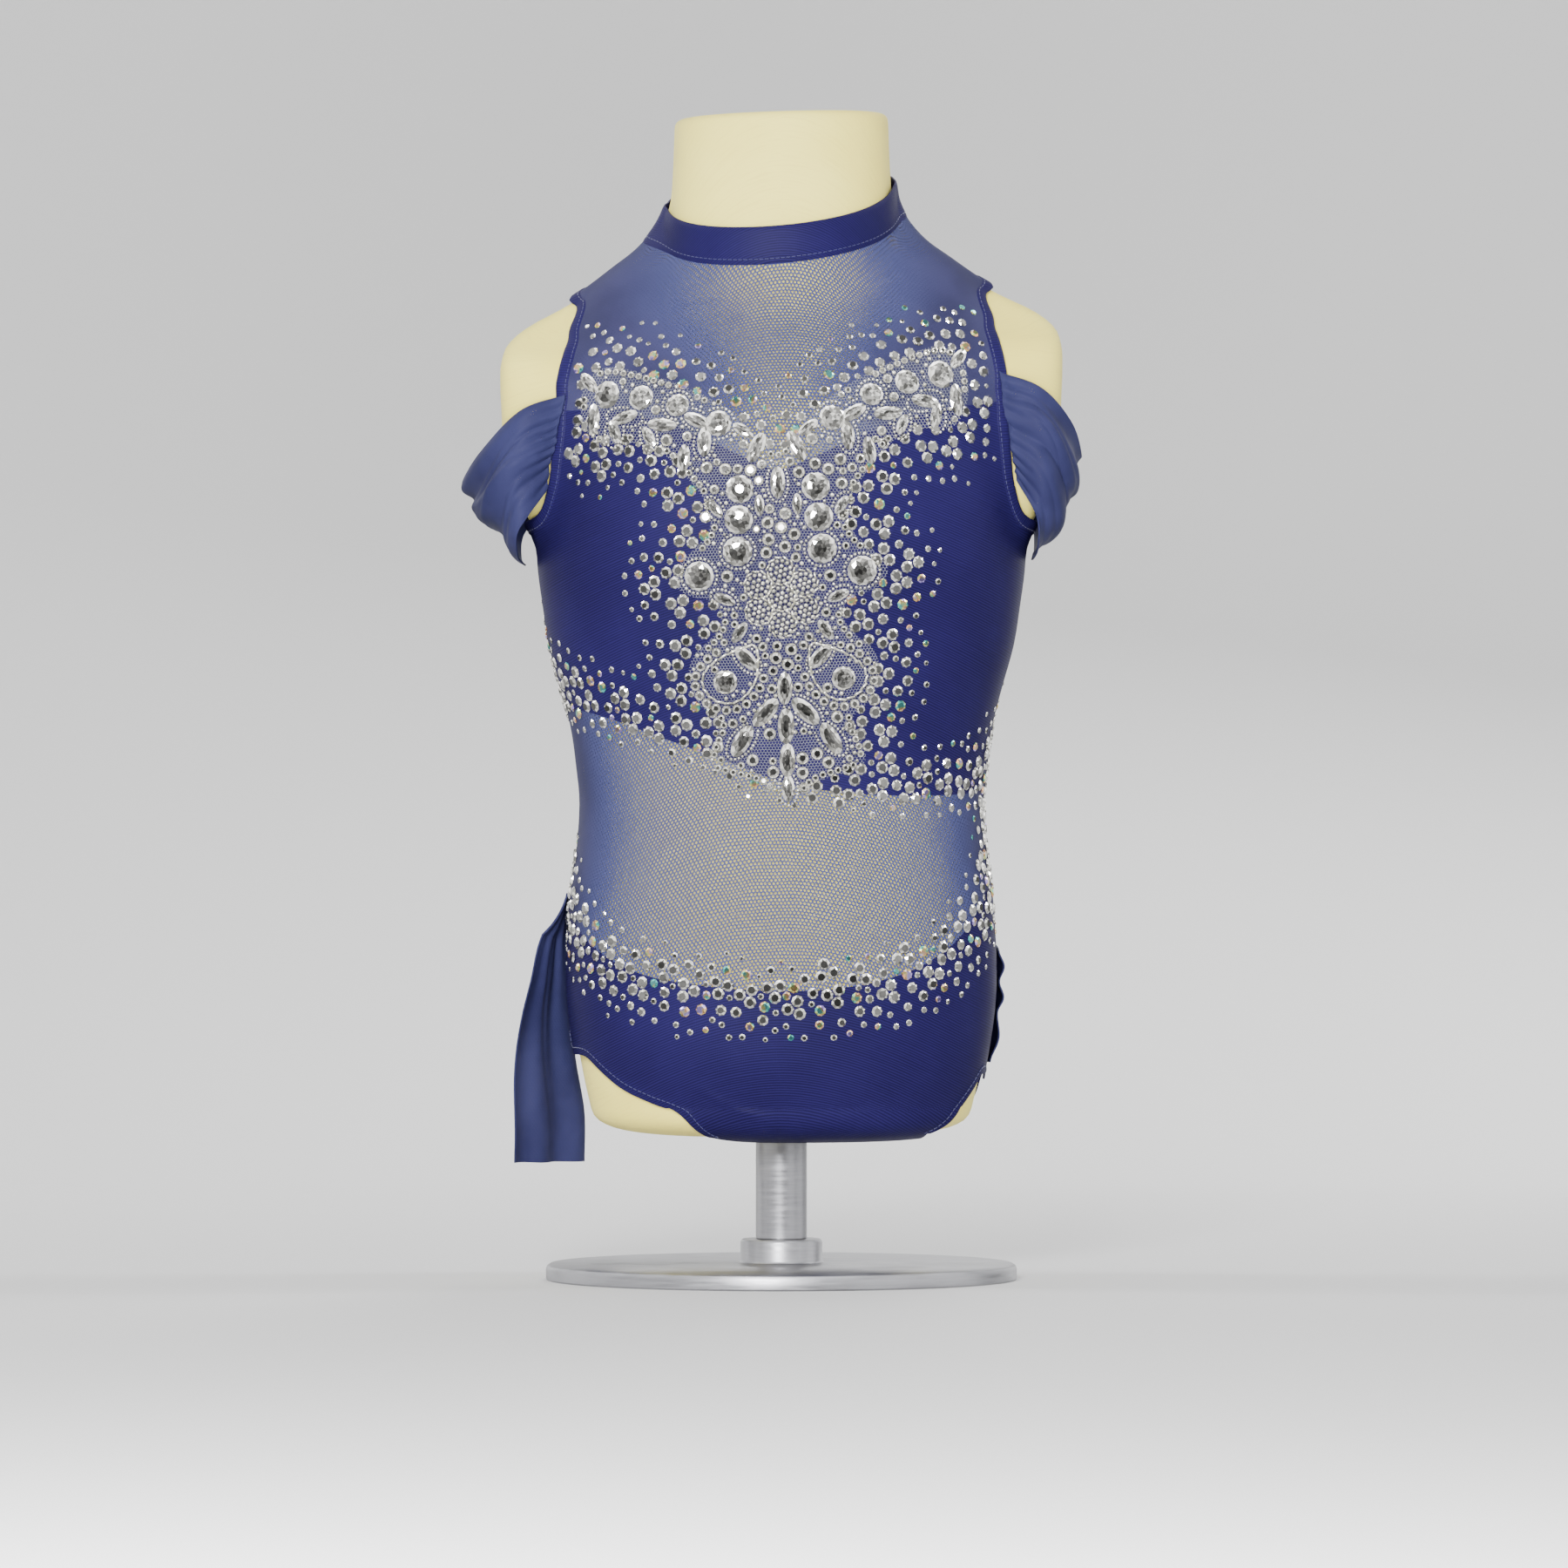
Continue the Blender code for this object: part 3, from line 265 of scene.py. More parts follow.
# The stand, as radius and height above the floor
FOOT_PROFILE = ((114.2, 0), (115, 0.8), (115, 5.5), (114.4, 7.0), (112.8, 8), (24, 8), (20.6, 8.6),
                (20, 9.6), (20, 18.5), (19.4, 19.6), (18.5, 20), (13.2, 20))
TUBE_PROFILE = ((12.5, 20.3), (12.5, 69.7))

# Greys of the studio's paper and flats
PAPER_GREY = 0.72
FLAT_GREY = 0.26
# Studio lights in metres, as name, place, aim, size, watts and whether they show in gloss
LIGHTS = (
    ("key", (-0.4, -2.6, 0.9), (0, 0, 0.3), 0.5, 110, True),
    ("front_fill", (0.1, -2.6, 0.08), (0, 0, 0.12), 0.5, 84, False),
    ("top", (0, 0.2, 2.6), (0, 0, 0.3), 1.2, 14, True),
    ("back_fill", (0.5, 1.9, 1.3), (0, 0, 0.3), 0.8, 30, False),
    ("paper_left", (-2.2, 0.4, 2.2), (0, 3.0, 1.2), 1.0, 60, True),
    ("paper_right", (2.2, 0.4, 2.2), (0, 3.0, 1.2), 1.0, 60, True),
)

rng = random.Random(41)


def smooth_curve(places, values):
    """A smooth function through the rows of a table, level past its two ends."""
    places = np.asarray(places, float)
    values = np.asarray(values, float)
    slopes = np.gradient(values, places, axis=0)

    def read(place):
        place = np.clip(place, places[0], places[-1])
        row = np.clip(np.searchsorted(places, place, side="right") - 1, 0, len(places) - 2)
        step = places[row + 1] - places[row]
        u = (place - places[row]) / step
        if values.ndim > 1:
            u = u[..., None]
            step = step[..., None]
        return ((2 * u**3 - 3 * u**2 + 1) * values[row] + (u**3 - 2 * u**2 + u) * step * slopes[row]
                + (3 * u**2 - 2 * u**3) * values[row + 1] + (u**3 - u**2) * step * slopes[row + 1])

    return read


def make_lobe(table, squareness):
    columns = np.asarray(table, float).T
    half_width, front, back = (smooth_curve(columns[0], c) for c in columns[1:])
    return half_width, front, back, squareness


LOBES = (
    make_lobe(TRUNK, TRUNK_SQUARENESS),
    make_lobe(NECK, NECK_SQUARENESS),
    make_lobe(SHOULDER_CAP, CAP_SQUARENESS),
)


def section_radius(angle, height):
    """Distance from the axis to the form's skin, one level section at a time."""
    across = np.abs(np.sin(angle))
    ahead = np.cos(angle)
    total = 0.0
    for half_width, front, back, power in LOBES:
        depth = np.where(ahead > 0, front(height), back(height))
        spread = (across / half_width(height)) ** power + (np.abs(ahead) / depth) ** power
        reach = spread ** (-1 / power)
        total = total + reach**LOBE_BLEND
    return total ** (1 / LOBE_BLEND) - FORM_EASE


def field(points):
    """1 on the form's skin, less inside and more outside."""
    x, y, z = points[..., 0], points[..., 1], points[..., 2]
    reach = np.hypot(x, y) / section_radius(np.arctan2(x, -y), z)
    drop = np.clip((UNDERSIDE_HEIGHT - z) / UNDERSIDE_HEIGHT, 0, None)
    power = UNDERSIDE_SQUARENESS
    return (reach**power + drop**power) ** (1 / power)


def gradient(points):
    step = 0.05
    parts = []
    for axis in range(3):
        shift = np.zeros(3)
        shift[axis] = step
        parts.append((field(points + shift) - field(points - shift)) / (2 * step))
    return np.stack(parts, axis=-1)


def normal(points):
    slope = gradient(points)
    return slope / np.linalg.norm(slope, axis=-1, keepdims=True)


def settle(points, clearance=0.0):
    """Points moved onto the skin, or onto a shell a little way outside it."""
    for _ in range(6):
        slope = gradient(points)
        size = np.linalg.norm(slope, axis=-1, keepdims=True)
        away = (field(points)[..., None] - 1) / size
        points = points + slope / size * (clearance - away)
    return points


def keep_clear(points, least):
    """Points pushed out where they come nearer to the form than the least distance."""
    for _ in range(4):
        slope = gradient(points)
        size = np.linalg.norm(slope, axis=-1, keepdims=True)
        away = (field(points)[..., None] - 1) / size
        points = points + slope / size * np.clip(least - away, 0, None)
    return points


def bisect(inside, low, high):
    """The place between two arrays where a test turns from true to false."""
    for _ in range(34):
        middle = (low + high) / 2
        keep = inside(middle)
        low = np.where(keep, middle, low)
        high = np.where(keep, high, middle)
    return (low + high) / 2


def skin(chart):
    """Chart places, as direction in degrees and height, put on the form's skin."""
    turn = np.radians(chart[..., 0])
    rise = chart[..., 1]
    angle = np.arctan2(GIRTH_STRETCH * np.sin(turn), np.cos(turn))
    dip = np.clip((RAY_CENTRE - rise) / RAY_CENTRE, 0, None)
    ray = np.stack([np.cos(dip) * np.sin(angle), -np.cos(dip) * np.cos(angle), -np.sin(dip)], axis=-1)
    centre = np.stack([0 * rise, 0 * rise, np.maximum(rise, RAY_CENTRE)], axis=-1)
    reach = bisect(lambda s: field(centre + s[..., None] * ray) < 1, 0 * rise, 0 * rise + 400)
    return centre + reach[..., None] * ray


def chart_of(points, back=False):
    """The chart places of points on the skin; behind the sides the directions run 90 to 270."""
    points = np.asarray(points, float)
    x, y, z = points[..., 0], points[..., 1], points[..., 2]
    angle = np.arctan2(x, -y)
    turn = np.degrees(np.arctan2(np.sin(angle) / GIRTH_STRETCH, np.cos(angle)))
    if back:
        turn = np.mod(turn, 360)
    dip = np.arctan2(RAY_CENTRE - z, np.hypot(x, y))
    return np.stack([turn, np.where(z >= RAY_CENTRE, z, RAY_CENTRE * (1 - dip))], axis=-1)


def facing(pairs, side):
    """Skin points at given x and height, on the front (-1) or the back (+1)."""
    pairs = np.asarray(pairs, float)
    x, z = pairs[..., 0], pairs[..., 1]
    depth = bisect(lambda d: field(np.stack([x, side * d, z], axis=-1)) < 1, 0 * x, 0 * x + 200)
    return np.stack([x, side * depth, z], axis=-1)


def underside(pairs):
    """Skin points at given x and y, under the form."""
    pairs = np.asarray(pairs, float)
    x, y = pairs[..., 0], pairs[..., 1]
    depth = bisect(
        lambda d: field(np.stack([x, y, RAY_CENTRE - d], axis=-1)) < 1, 0 * x, 0 * x + RAY_CENTRE)
    return np.stack([x, y, RAY_CENTRE - depth], axis=-1)


def front_chart(pairs):
    return chart_of(facing(pairs, -1))


def back_chart(pairs):
    return chart_of(facing(pairs, 1), back=True)


def under_chart(pairs, back=False):
    return chart_of(underside(pairs), back=back)


def run_length(points):
    """Length along a line of points, from its start."""
    return np.concatenate([[0], np.cumsum(np.linalg.norm(np.diff(points, axis=0), axis=1))])


def spaced(places, count, lift=skin, crowding=1.0):
    """Stations spaced in real length along a smooth line, crowded at its start where over 1."""
    places = np.asarray(places, float)
    run = run_length(lift(places))
    line = smooth_curve(run, places)
    fine_run = np.linspace(0, run[-1], 240)
    length = run_length(lift(line(fine_run)))
    share = np.linspace(0, 1, count * DETAIL + 1) ** crowding
    return line(np.interp(share * length[-1], length, fine_run))


def chain(*runs):
    """Runs of stations joined end to end."""
    return np.concatenate([runs[0]] + [run[1:] for run in runs[1:]])


def patch(bottom, top, left, right, crowding=1.0, fade=3.0):
    """A grid between four edges that meet at their corners; the side edges' bows fade inwards."""
    v = (np.linspace(0, 1, len(left)) ** crowding)[:, None, None]
    u = np.linspace(0, 1, len(bottom))[None, :, None]
    flat_left = (1 - v) * bottom[0] + v * top[0]
    flat_right = (1 - v) * bottom[-1] + v * top[-1]
    ruled = (1 - v) * bottom + v * top
    left_bow = left[:, None] - flat_left
    right_bow = right[:, None] - flat_right
    return ruled + (1 - u) ** fade * left_bow + u**fade * right_bow


def place(points):
    """Form coordinates to the frame's metres, with the shoulders' slight lean."""
    low, high = LEAN_HEIGHTS
    u = np.clip((points[..., 2] - low) / (high - low), 0, 1)
    lift = LEAN * points[..., 0] * u * u * (3 - 2 * u)
    shifted = points + np.array([FORM_X, 0, FORM_BOTTOM])
    shifted[..., 2] += lift
    return shifted * MM


# Materials


def linear(red, green, blue):
    return tuple(((c / 255 + 0.055) / 1.055) ** 2.4 for c in (red, green, blue)) + (1.0,)


def add(tree, kind, inputs=None, **settings):
    """A node with its settings, and its inputs set or linked by name or number."""
    item = tree.nodes.new(kind)
    for name, value in settings.items():
        setattr(item, name, value)
    for name, value in (inputs or {}).items():
        if isinstance(value, bpy.types.NodeSocket):
            tree.links.new(value, item.inputs[name])
        else:
            item.inputs[name].default_value = value
    return item


def sums(tree, operation, a, b=0.0, c=0.0):
    return add(tree, "ShaderNodeMath", {0: a, 1: b, 2: c}, operation=operation).outputs[0]


def vectors(tree, operation, a, b=(0, 0, 0), c=(0, 0, 0)):
    item = add(tree, "ShaderNodeVectorMath", {0: a, 1: b, 2: c}, operation=operation)
    return item.outputs["Value" if operation in ("LENGTH", "DOT_PRODUCT") else "Vector"]


def blend(tree, share, a, b):
    item = add(tree, "ShaderNodeMix", {0: share, 6: a, 7: b}, data_type="RGBA")
    return item.outputs[2]


def steps(tree, value, low, high, out_low=0.0, out_high=1.0):
    item = add(tree, "ShaderNodeMapRange", {"Value": value, "From Min": low, "From Max": high,
                                            "To Min": out_low, "To Max": out_high},
               interpolation_type="SMOOTHSTEP")
    return item.outputs["Result"]


def noise(tree, where, scale, detail=3.0):
    item = add(tree, "ShaderNodeTexNoise", {"Vector": where, "Scale": scale, "Detail": detail})
    return item.outputs["Fac"]


def new_material(name, roughness, metallic=0.0, **sockets):
    """A material with its own numbers on the shader's sockets, and where its patterns are read."""
    material = bpy.data.materials.new(name)
    material.use_nodes = True
    tree = material.node_tree
    shader = tree.nodes["Principled BSDF"]
    shader.inputs["Roughness"].default_value = roughness
    shader.inputs["Metallic"].default_value = metallic
    for socket, value in sockets.items():
        shader.inputs[socket.replace("_", " ")].default_value = value
    thread = add(tree, "ShaderNodeUVMap", uv_map="thread").outputs[0]
    place_in = add(tree, "ShaderNodeTexCoord").outputs["Object"]
    return material, tree, shader, thread, place_in


def bump(tree, shader, height, strength, distance):
    item = add(tree, "ShaderNodeBump", {"Height": height, "Strength": strength, "Distance": distance})
    tree.links.new(item.outputs[0], shader.inputs["Normal"])


def stretch_cloth():
    """Navy stretch knit with fine crosswise ribs and a satin face, its colour darker in the rib grooves as
    painted shade.
    """
    material, tree, shader, thread, place_in = new_material(
        "navy_stretch_knit", 0.5, Specular_IOR_Level=0.07)
    parts = add(tree, "ShaderNodeSeparateXYZ", {0: thread})
    waver = noise(tree, vectors(tree, "MULTIPLY", thread, (0.02, 0.3, 0)), 1.0, 2.0)
    along = sums(tree, "MULTIPLY_ADD", waver, 1.1, parts.outputs[1])
    rib = sums(tree, "SINE", sums(tree, "MULTIPLY", along, 2 * math.pi / RIB_PITCH))
    rib = sums(tree, "MULTIPLY_ADD", rib, 0.5, 0.5)
    stitch = sums(tree, "SINE", sums(tree, "MULTIPLY", parts.outputs[0], 2 * math.pi / WALE_PITCH))
    stitch = sums(tree, "MULTIPLY_ADD", stitch, 0.25, rib)
    cloudy = noise(tree, place_in, 14.0, 3.0)
    # Painted shade: the colour follows the rib wave, darker in the grooves between ribs.
    base = blend(tree, rib, (0.0035, 0.0022, 0.018, 1), (0.0185, 0.0135, 0.088, 1))
    tone = blend(tree, steps(tree, cloudy, 0.3, 0.7),
                 (0.0075, 0.0052, 0.038, 1), (0.0145, 0.0105, 0.07, 1))
    colour = blend(tree, 0.5, base, tone)
    tree.links.new(colour, shader.inputs["Base Color"])
    bump(tree, shader, stitch, 0.35, 0.00012)
    return material


def hexagons(tree, thread, pitch):
    """0 in the middle of each hexagon of a net and 0.5 on the thread between two."""
    cell = (pitch, pitch * math.sqrt(3), 1.0)
    half = tuple(c / 2 for c in cell)
    minus = tuple(-c / 2 for c in cell)
    first = vectors(tree, "WRAP", thread, half, minus)
    second = vectors(tree, "WRAP", vectors(tree, "ADD", thread, half), half, minus)
    flat = (1.0, 1.0, 0.0)
    first = vectors(tree, "MULTIPLY", first, flat)
    second = vectors(tree, "MULTIPLY", second, flat)
    nearer = sums(tree, "LESS_THAN", vectors(tree, "LENGTH", second), vectors(tree, "LENGTH", first))
    both = add(tree, "ShaderNodeMix", {0: nearer, 4: first, 5: second}, data_type="VECTOR").outputs[1]
    folded = vectors(tree, "ABSOLUTE", both)
    slanted = vectors(tree, "DOT_PRODUCT", folded, (0.5, math.sqrt(3) / 2, 0))
    straight = add(tree, "ShaderNodeSeparateXYZ", {0: folded}).outputs[0]
    return sums(tree, "DIVIDE", sums(tree, "MAXIMUM", straight, slanted), pitch)


def net_cloth(name, pitch, share, colours, roughness, doubled=False, lit=None):
    """Net cloth: hexagons of thread with clear holes; doubled net shows a second, turned layer. A lit tone,
    where given, is painted light on the threads where the net is open, with painted shade where it closes.
    """
    material, tree, shader, thread, place_in = new_material(name, roughness, Specular_IOR_Level=0.1)
    closed = add(tree, "ShaderNodeAttribute", attribute_name="closed").outputs["Fac"]
    soft = add(tree, "ShaderNodeTexNoise", {"Vector": thread, "Scale": 0.05, "Detail": 1.0})
    waver = vectors(tree, "SUBTRACT", soft.outputs["Color"], (0.5, 0.5, 0.5))
    drawn = vectors(tree, "ADD", thread, vectors(tree, "MULTIPLY", waver, (2.5, 2.5, 0)))
    edge = hexagons(tree, drawn, pitch)
    soft_edge = 0.03
    low = sums(tree, "MULTIPLY_ADD", closed, -CLOSED_SHARE, 0.5 - share - soft_edge)
    high = sums(tree, "ADD", low, 2 * soft_edge)
    solid = steps(tree, edge, low, high)
    if doubled:
        turned = add(tree, "ShaderNodeMapping", {"Vector": drawn, "Location": (pitch * 0.5, 0.3, 0),
                                                 "Rotation": (0, 0, math.radians(8))}).outputs[0]
        second = hexagons(tree, turned, pitch)
        solid = sums(tree, "MAXIMUM", solid, steps(tree, second, low, high))
    tone = blend(tree, steps(tree, noise(tree, place_in, 30.0), 0.3, 0.7), *colours)
    # Painted light and shade: where a lit tone is given, the threads take it where the net lies open and
    # faces front, and darken to their own tones as it closes towards the sides.
    if lit is not None:
        tone = blend(tree, closed, lit, tone)
    tree.links.new(tone, shader.inputs["Base Color"])
    tree.links.new(solid, shader.inputs["Alpha"])
    bump(tree, shader, edge, 0.25, 0.0002)
    return material


def form_linen():
    """Cream cover cloth with a fine plain weave and a few faint marks."""
    material, tree, shader, thread, place_in = new_material("cream_form_cover", 0.78, Sheen_Weight=0.1)
    parts = add(tree, "ShaderNodeSeparateXYZ", {0: thread})
    warp = sums(tree, "SINE", sums(tree, "MULTIPLY", parts.outputs[0], 2 * math.pi / LINEN_PITCH))
    weft = sums(tree, "SINE", sums(tree, "MULTIPLY", parts.outputs[1], 2 * math.pi / LINEN_PITCH))
    weave = sums(tree, "MULTIPLY", warp, weft)
    slub = noise(tree, vectors(tree, "MULTIPLY", thread, (0.05, 0.9, 1)), 1.0, 2.0)
    tone = blend(tree, steps(tree, noise(tree, place_in, 9.0, 4.0), 0.35, 0.7),
                 (0.88, 0.75, 0.15, 1), (0.97, 0.86, 0.21, 1))
    tone = blend(tree, sums(tree, "MULTIPLY", steps(tree, slub, 0.45, 0.75), 0.25), tone,
                 (0.74, 0.6, 0.12, 1))
    mark = steps(tree, noise(tree, place_in, 55.0, 2.0), 0.68, 0.78)
    where = steps(tree, noise(tree, place_in, 7.0, 1.0), 0.5, 0.62)
    spots = sums(tree, "MULTIPLY", sums(tree, "MULTIPLY", mark, where), 0.35)
    tree.links.new(blend(tree, spots, tone, (0.42, 0.32, 0.14, 1)), shader.inputs["Base Color"])
    bump(tree, shader, sums(tree, "MULTIPLY_ADD", weave, 0.5, slub), 0.3, 0.0001)
    return material


def painted_facet_reflections(tree, cells):
    """Painted reflection brightness of each stone face: its own number, with a little variety from place to
    place.
    """
    own = add(tree, "ShaderNodeAttribute", attribute_name="facet").outputs["Fac"]
    varied = steps(tree, cells, 0.35, 0.6, 0.75, 1.0)
    return sums(tree, "MULTIPLY", own, varied)


def silvered_glass():
    """Foil-backed crystal: a painted reflection on each face, bright on the rim and dark on the table, with
    slight differences of tone.
    """
    material, tree, shader, _, place_in = new_material("silvered_crystal", 0.07, 0.95, Coat_Weight=0.4)
    cells = noise(tree, place_in, 620.0, 1.0)
    # Painted reflection: each face blends from near black to bright warm silver by its listed brightness.
    tree.links.new(blend(tree, painted_facet_reflections(tree, cells), (0.05, 0.05, 0.052, 1), (1.0, 0.985, 0.92, 1)),
                   shader.inputs["Base Color"])
    return material


def rainbow_glass():
    """Crystal with an oily rainbow coat, its colour turning from facet to facet and darkened face by face
    with a painted reflection.
    """
    material, tree, shader, _, place_in = new_material("rainbow_crystal", 0.1, 0.85, Coat_Weight=0.6)
    hue = noise(tree, place_in, 260.0, 1.0)
    ramp = add(tree, "ShaderNodeValToRGB", {0: hue})
    stops = ((0.38, (90, 205, 200)), (0.44, (206, 235, 140)), (0.49, (244, 226, 130)),
             (0.54, (250, 168, 128)), (0.59, (236, 226, 190)), (0.64, (180, 156, 236)))
    ramp.color_ramp.elements[0].position = stops[0][0]
    ramp.color_ramp.elements[0].color = linear(*stops[0][1])
    ramp.color_ramp.elements[1].position = stops[-1][0]
    ramp.color_ramp.elements[1].color = linear(*stops[-1][1])
    for where, colour in stops[1:-1]:
        ramp.color_ramp.elements.new(where).color = linear(*colour)
    # Painted reflection: each face's listed brightness darkens the rainbow colour towards black.
    bright = sums(tree, "MULTIPLY_ADD", painted_facet_reflections(tree, hue), 0.75, 0.25)
    tree.links.new(blend(tree, bright, (0.04, 0.04, 0.05, 1), ramp.outputs[0]),
                   shader.inputs["Base Color"])
    return material


def bead_silver():
    """Silver-lined seed beads, bugles and cups, with tarnish in places."""
    material, tree, shader, _, place_in = new_material("silver_beads", 0.24, 0.75, Coat_Weight=0.4)
    dull = steps(tree, noise(tree, place_in, 300.0, 2.0), 0.35, 0.65)
    tree.links.new(blend(tree, dull, (0.95, 0.93, 0.82, 1), (0.45, 0.44, 0.36, 1)),
                   shader.inputs["Base Color"])
    return material


def sewing_thread():
    material, tree, shader, _, place_in = new_material("navy_thread", 0.5, Sheen_Weight=0.2)
    tone = blend(tree, noise(tree, place_in, 800.0), (0.01, 0.011, 0.06, 1), (0.03, 0.034, 0.13, 1))
    tree.links.new(tone, shader.inputs["Base Color"])
    return material


def stand_paint():
    """Grey satin metal with a faint grain and a little wear."""
    material, tree, shader, _, place_in = new_material("grey_satin_metal", 0.36, 0.8)
    grain = noise(tree, vectors(tree, "MULTIPLY", place_in, (1, 1, 12)), 60.0, 4.0)
    tree.links.new(blend(tree, grain, linear(132, 132, 136), linear(170, 170, 174)),
                   shader.inputs["Base Color"])
    tree.links.new(steps(tree, grain, 0.2, 0.8, 0.28, 0.46), shader.inputs["Roughness"])
    return material


MATERIALS = {
    "stretch": stretch_cloth(),
    # The power net's lit tone is painted light on its open, front-facing threads.
    "net": net_cloth("navy_power_net", NET_PITCH, 0.18,
                     ((0.024, 0.024, 0.066, 1), (0.036, 0.036, 0.094, 1)), 0.6,
                     lit=(0.057, 0.066, 0.17, 1)),
    "doubled": net_cloth("navy_doubled_net", FINE_NET_PITCH, 0.38,
                         ((0.018, 0.019, 0.062, 1), (0.028, 0.03, 0.088, 1)), 0.6, doubled=True),
    "white_net": net_cloth("clear_backing_net", FINE_NET_PITCH, 0.03,
                           ((0.24, 0.25, 0.3, 1), (0.38, 0.39, 0.43, 1)), 0.5),
    "linen": form_linen(),
    "crystal": silvered_glass(),
    "rainbow": rainbow_glass(),
    "silver": bead_silver(),
    "thread": sewing_thread(),
    "metal": stand_paint(),
}


# Meshes


def set_attribute(mesh, name, values, kind="FLOAT", domain="POINT"):
    key = "vector" if kind == "FLOAT_VECTOR" else "value"
    values = np.asarray(values, np.float32).ravel()
    mesh.attributes.new(name, kind, domain).data.foreach_set(key, values)


def set_thread_map(mesh, places):
    """The UV map that weave and net are read from, in millimetres of thread."""
    layer = mesh.uv_layers.new(name="thread")
    layer.data.foreach_set("uv", np.asarray(places, np.float32).ravel())


def put_in_scene(name, data):
    item = bpy.data.objects.new(name, data)
    bpy.context.scene.collection.objects.link(item)
    return item


def new_object(name, mesh, material, crisp=40):
    """A finished piece: normals out, smooth but for its crisp edges."""
    work = bmesh.new()
    work.from_mesh(mesh)
    bmesh.ops.recalc_face_normals(work, faces=work.faces)
    work.to_mesh(mesh)
    work.free()
    mesh.materials.clear()
    mesh.materials.append(MATERIALS[material])
    if crisp:
        mesh.shade_smooth()
        mesh.set_sharp_from_angle(angle=math.radians(crisp))
    return put_in_scene(name, mesh)


def make_shell(name, inner, outer, thread, material, ring=False, closed=None):
    """A closed cloth shell between two grids, with its thread lengths in a UV map."""
    rows, columns = inner.shape[:2]
    count = rows * columns
    spans = columns if ring else columns - 1
    width = thread.shape[1]
    r, c = np.meshgrid(np.arange(rows - 1), np.arange(spans), indexing="ij")
    e = (c + 1) % columns
    low, high = r * columns, (r + 1) * columns
    quads = np.stack([low + c, low + e, high + e, high + c], axis=-1).reshape(-1, 4)
    low, high = r * width + c, (r + 1) * width + c
    marks = np.stack([low, low + 1, high + 1, high], axis=-1).reshape(-1, 4)
    faces = [quads + count, quads[:, ::-1]]
    reads = [marks, marks[:, ::-1]]

    def close_edge(a, b, p, q):
        faces.append(np.stack([a, b, b + count, a + count], axis=-1))
        reads.append(np.stack([p, q, q, p], axis=-1))

    c = np.arange(spans)
    for row in (0, rows - 1):
        first, mark = row * columns, row * width + c
        close_edge(first + c, first + (c + 1) % columns, mark, mark + 1)
    r = np.arange(rows - 1)
    for column in () if ring else (0, columns - 1):
        first, mark = r * columns + column, r * width + column
        close_edge(first, first + columns, mark, mark + width)
    faces, reads = np.concatenate(faces), np.concatenate(reads)
    points = place(np.concatenate([inner.reshape(-1, 3), outer.reshape(-1, 3)]))
    mesh = bpy.data.meshes.new(name)
    mesh.from_pydata(points.tolist(), [], faces.tolist())
    set_thread_map(mesh, thread.reshape(-1, 2)[reads.reshape(-1)])
    if closed is not None:
        set_attribute(mesh, "closed", np.tile(closed.ravel(), 2))
    return new_object(name, mesh, material)


# Thread lengths round the form and up it, for weave and net that keep their scale

GIRTH_TURNS = np.linspace(-180, 360, 181)
GIRTH_RISES = np.linspace(-6, 470, 120)
girth_points = skin(np.stack(np.meshgrid(GIRTH_TURNS, GIRTH_RISES), axis=-1))
girth_steps = np.linalg.norm(np.diff(girth_points, axis=1), axis=-1)
GIRTH_TABLE = np.concatenate([np.zeros((len(GIRTH_RISES), 1)), np.cumsum(girth_steps, axis=1)], axis=1)
GIRTH_TABLE -= GIRTH_TABLE[:, np.argmin(np.abs(GIRTH_TURNS))][:, None]
rise_steps = np.linalg.norm(np.diff(girth_points, axis=0), axis=-1)
RISE_TABLE = np.concatenate([np.zeros((1, len(GIRTH_TURNS))), np.cumsum(rise_steps, axis=0)], axis=0)


def thread_lengths(chart):
    """Length round the form from the centre front, and length up it, for chart places."""
    column = np.interp(chart[..., 0], GIRTH_TURNS, np.arange(len(GIRTH_TURNS)))
    row = np.interp(chart[..., 1], GIRTH_RISES, np.arange(len(GIRTH_RISES)))
    c = np.clip(column.astype(int), 0, len(GIRTH_TURNS) - 2)
    r = np.clip(row.astype(int), 0, len(GIRTH_RISES) - 2)
    u, v = column - c, row - r
    found = []
    for table in (GIRTH_TABLE, RISE_TABLE):
        low = table[r, c] * (1 - u) + table[r, c + 1] * u
        high = table[r + 1, c] * (1 - u) + table[r + 1, c + 1] * u
        found.append(low * (1 - v) + high * v)
    return np.stack(found, axis=-1)


def rise_along(grid):
    """Distance of each grid point from the grid's first row, along its column."""
    run = np.linalg.norm(np.diff(grid, axis=0), axis=-1)
    return np.concatenate([np.zeros((1, grid.shape[1])), np.cumsum(run, axis=0)])


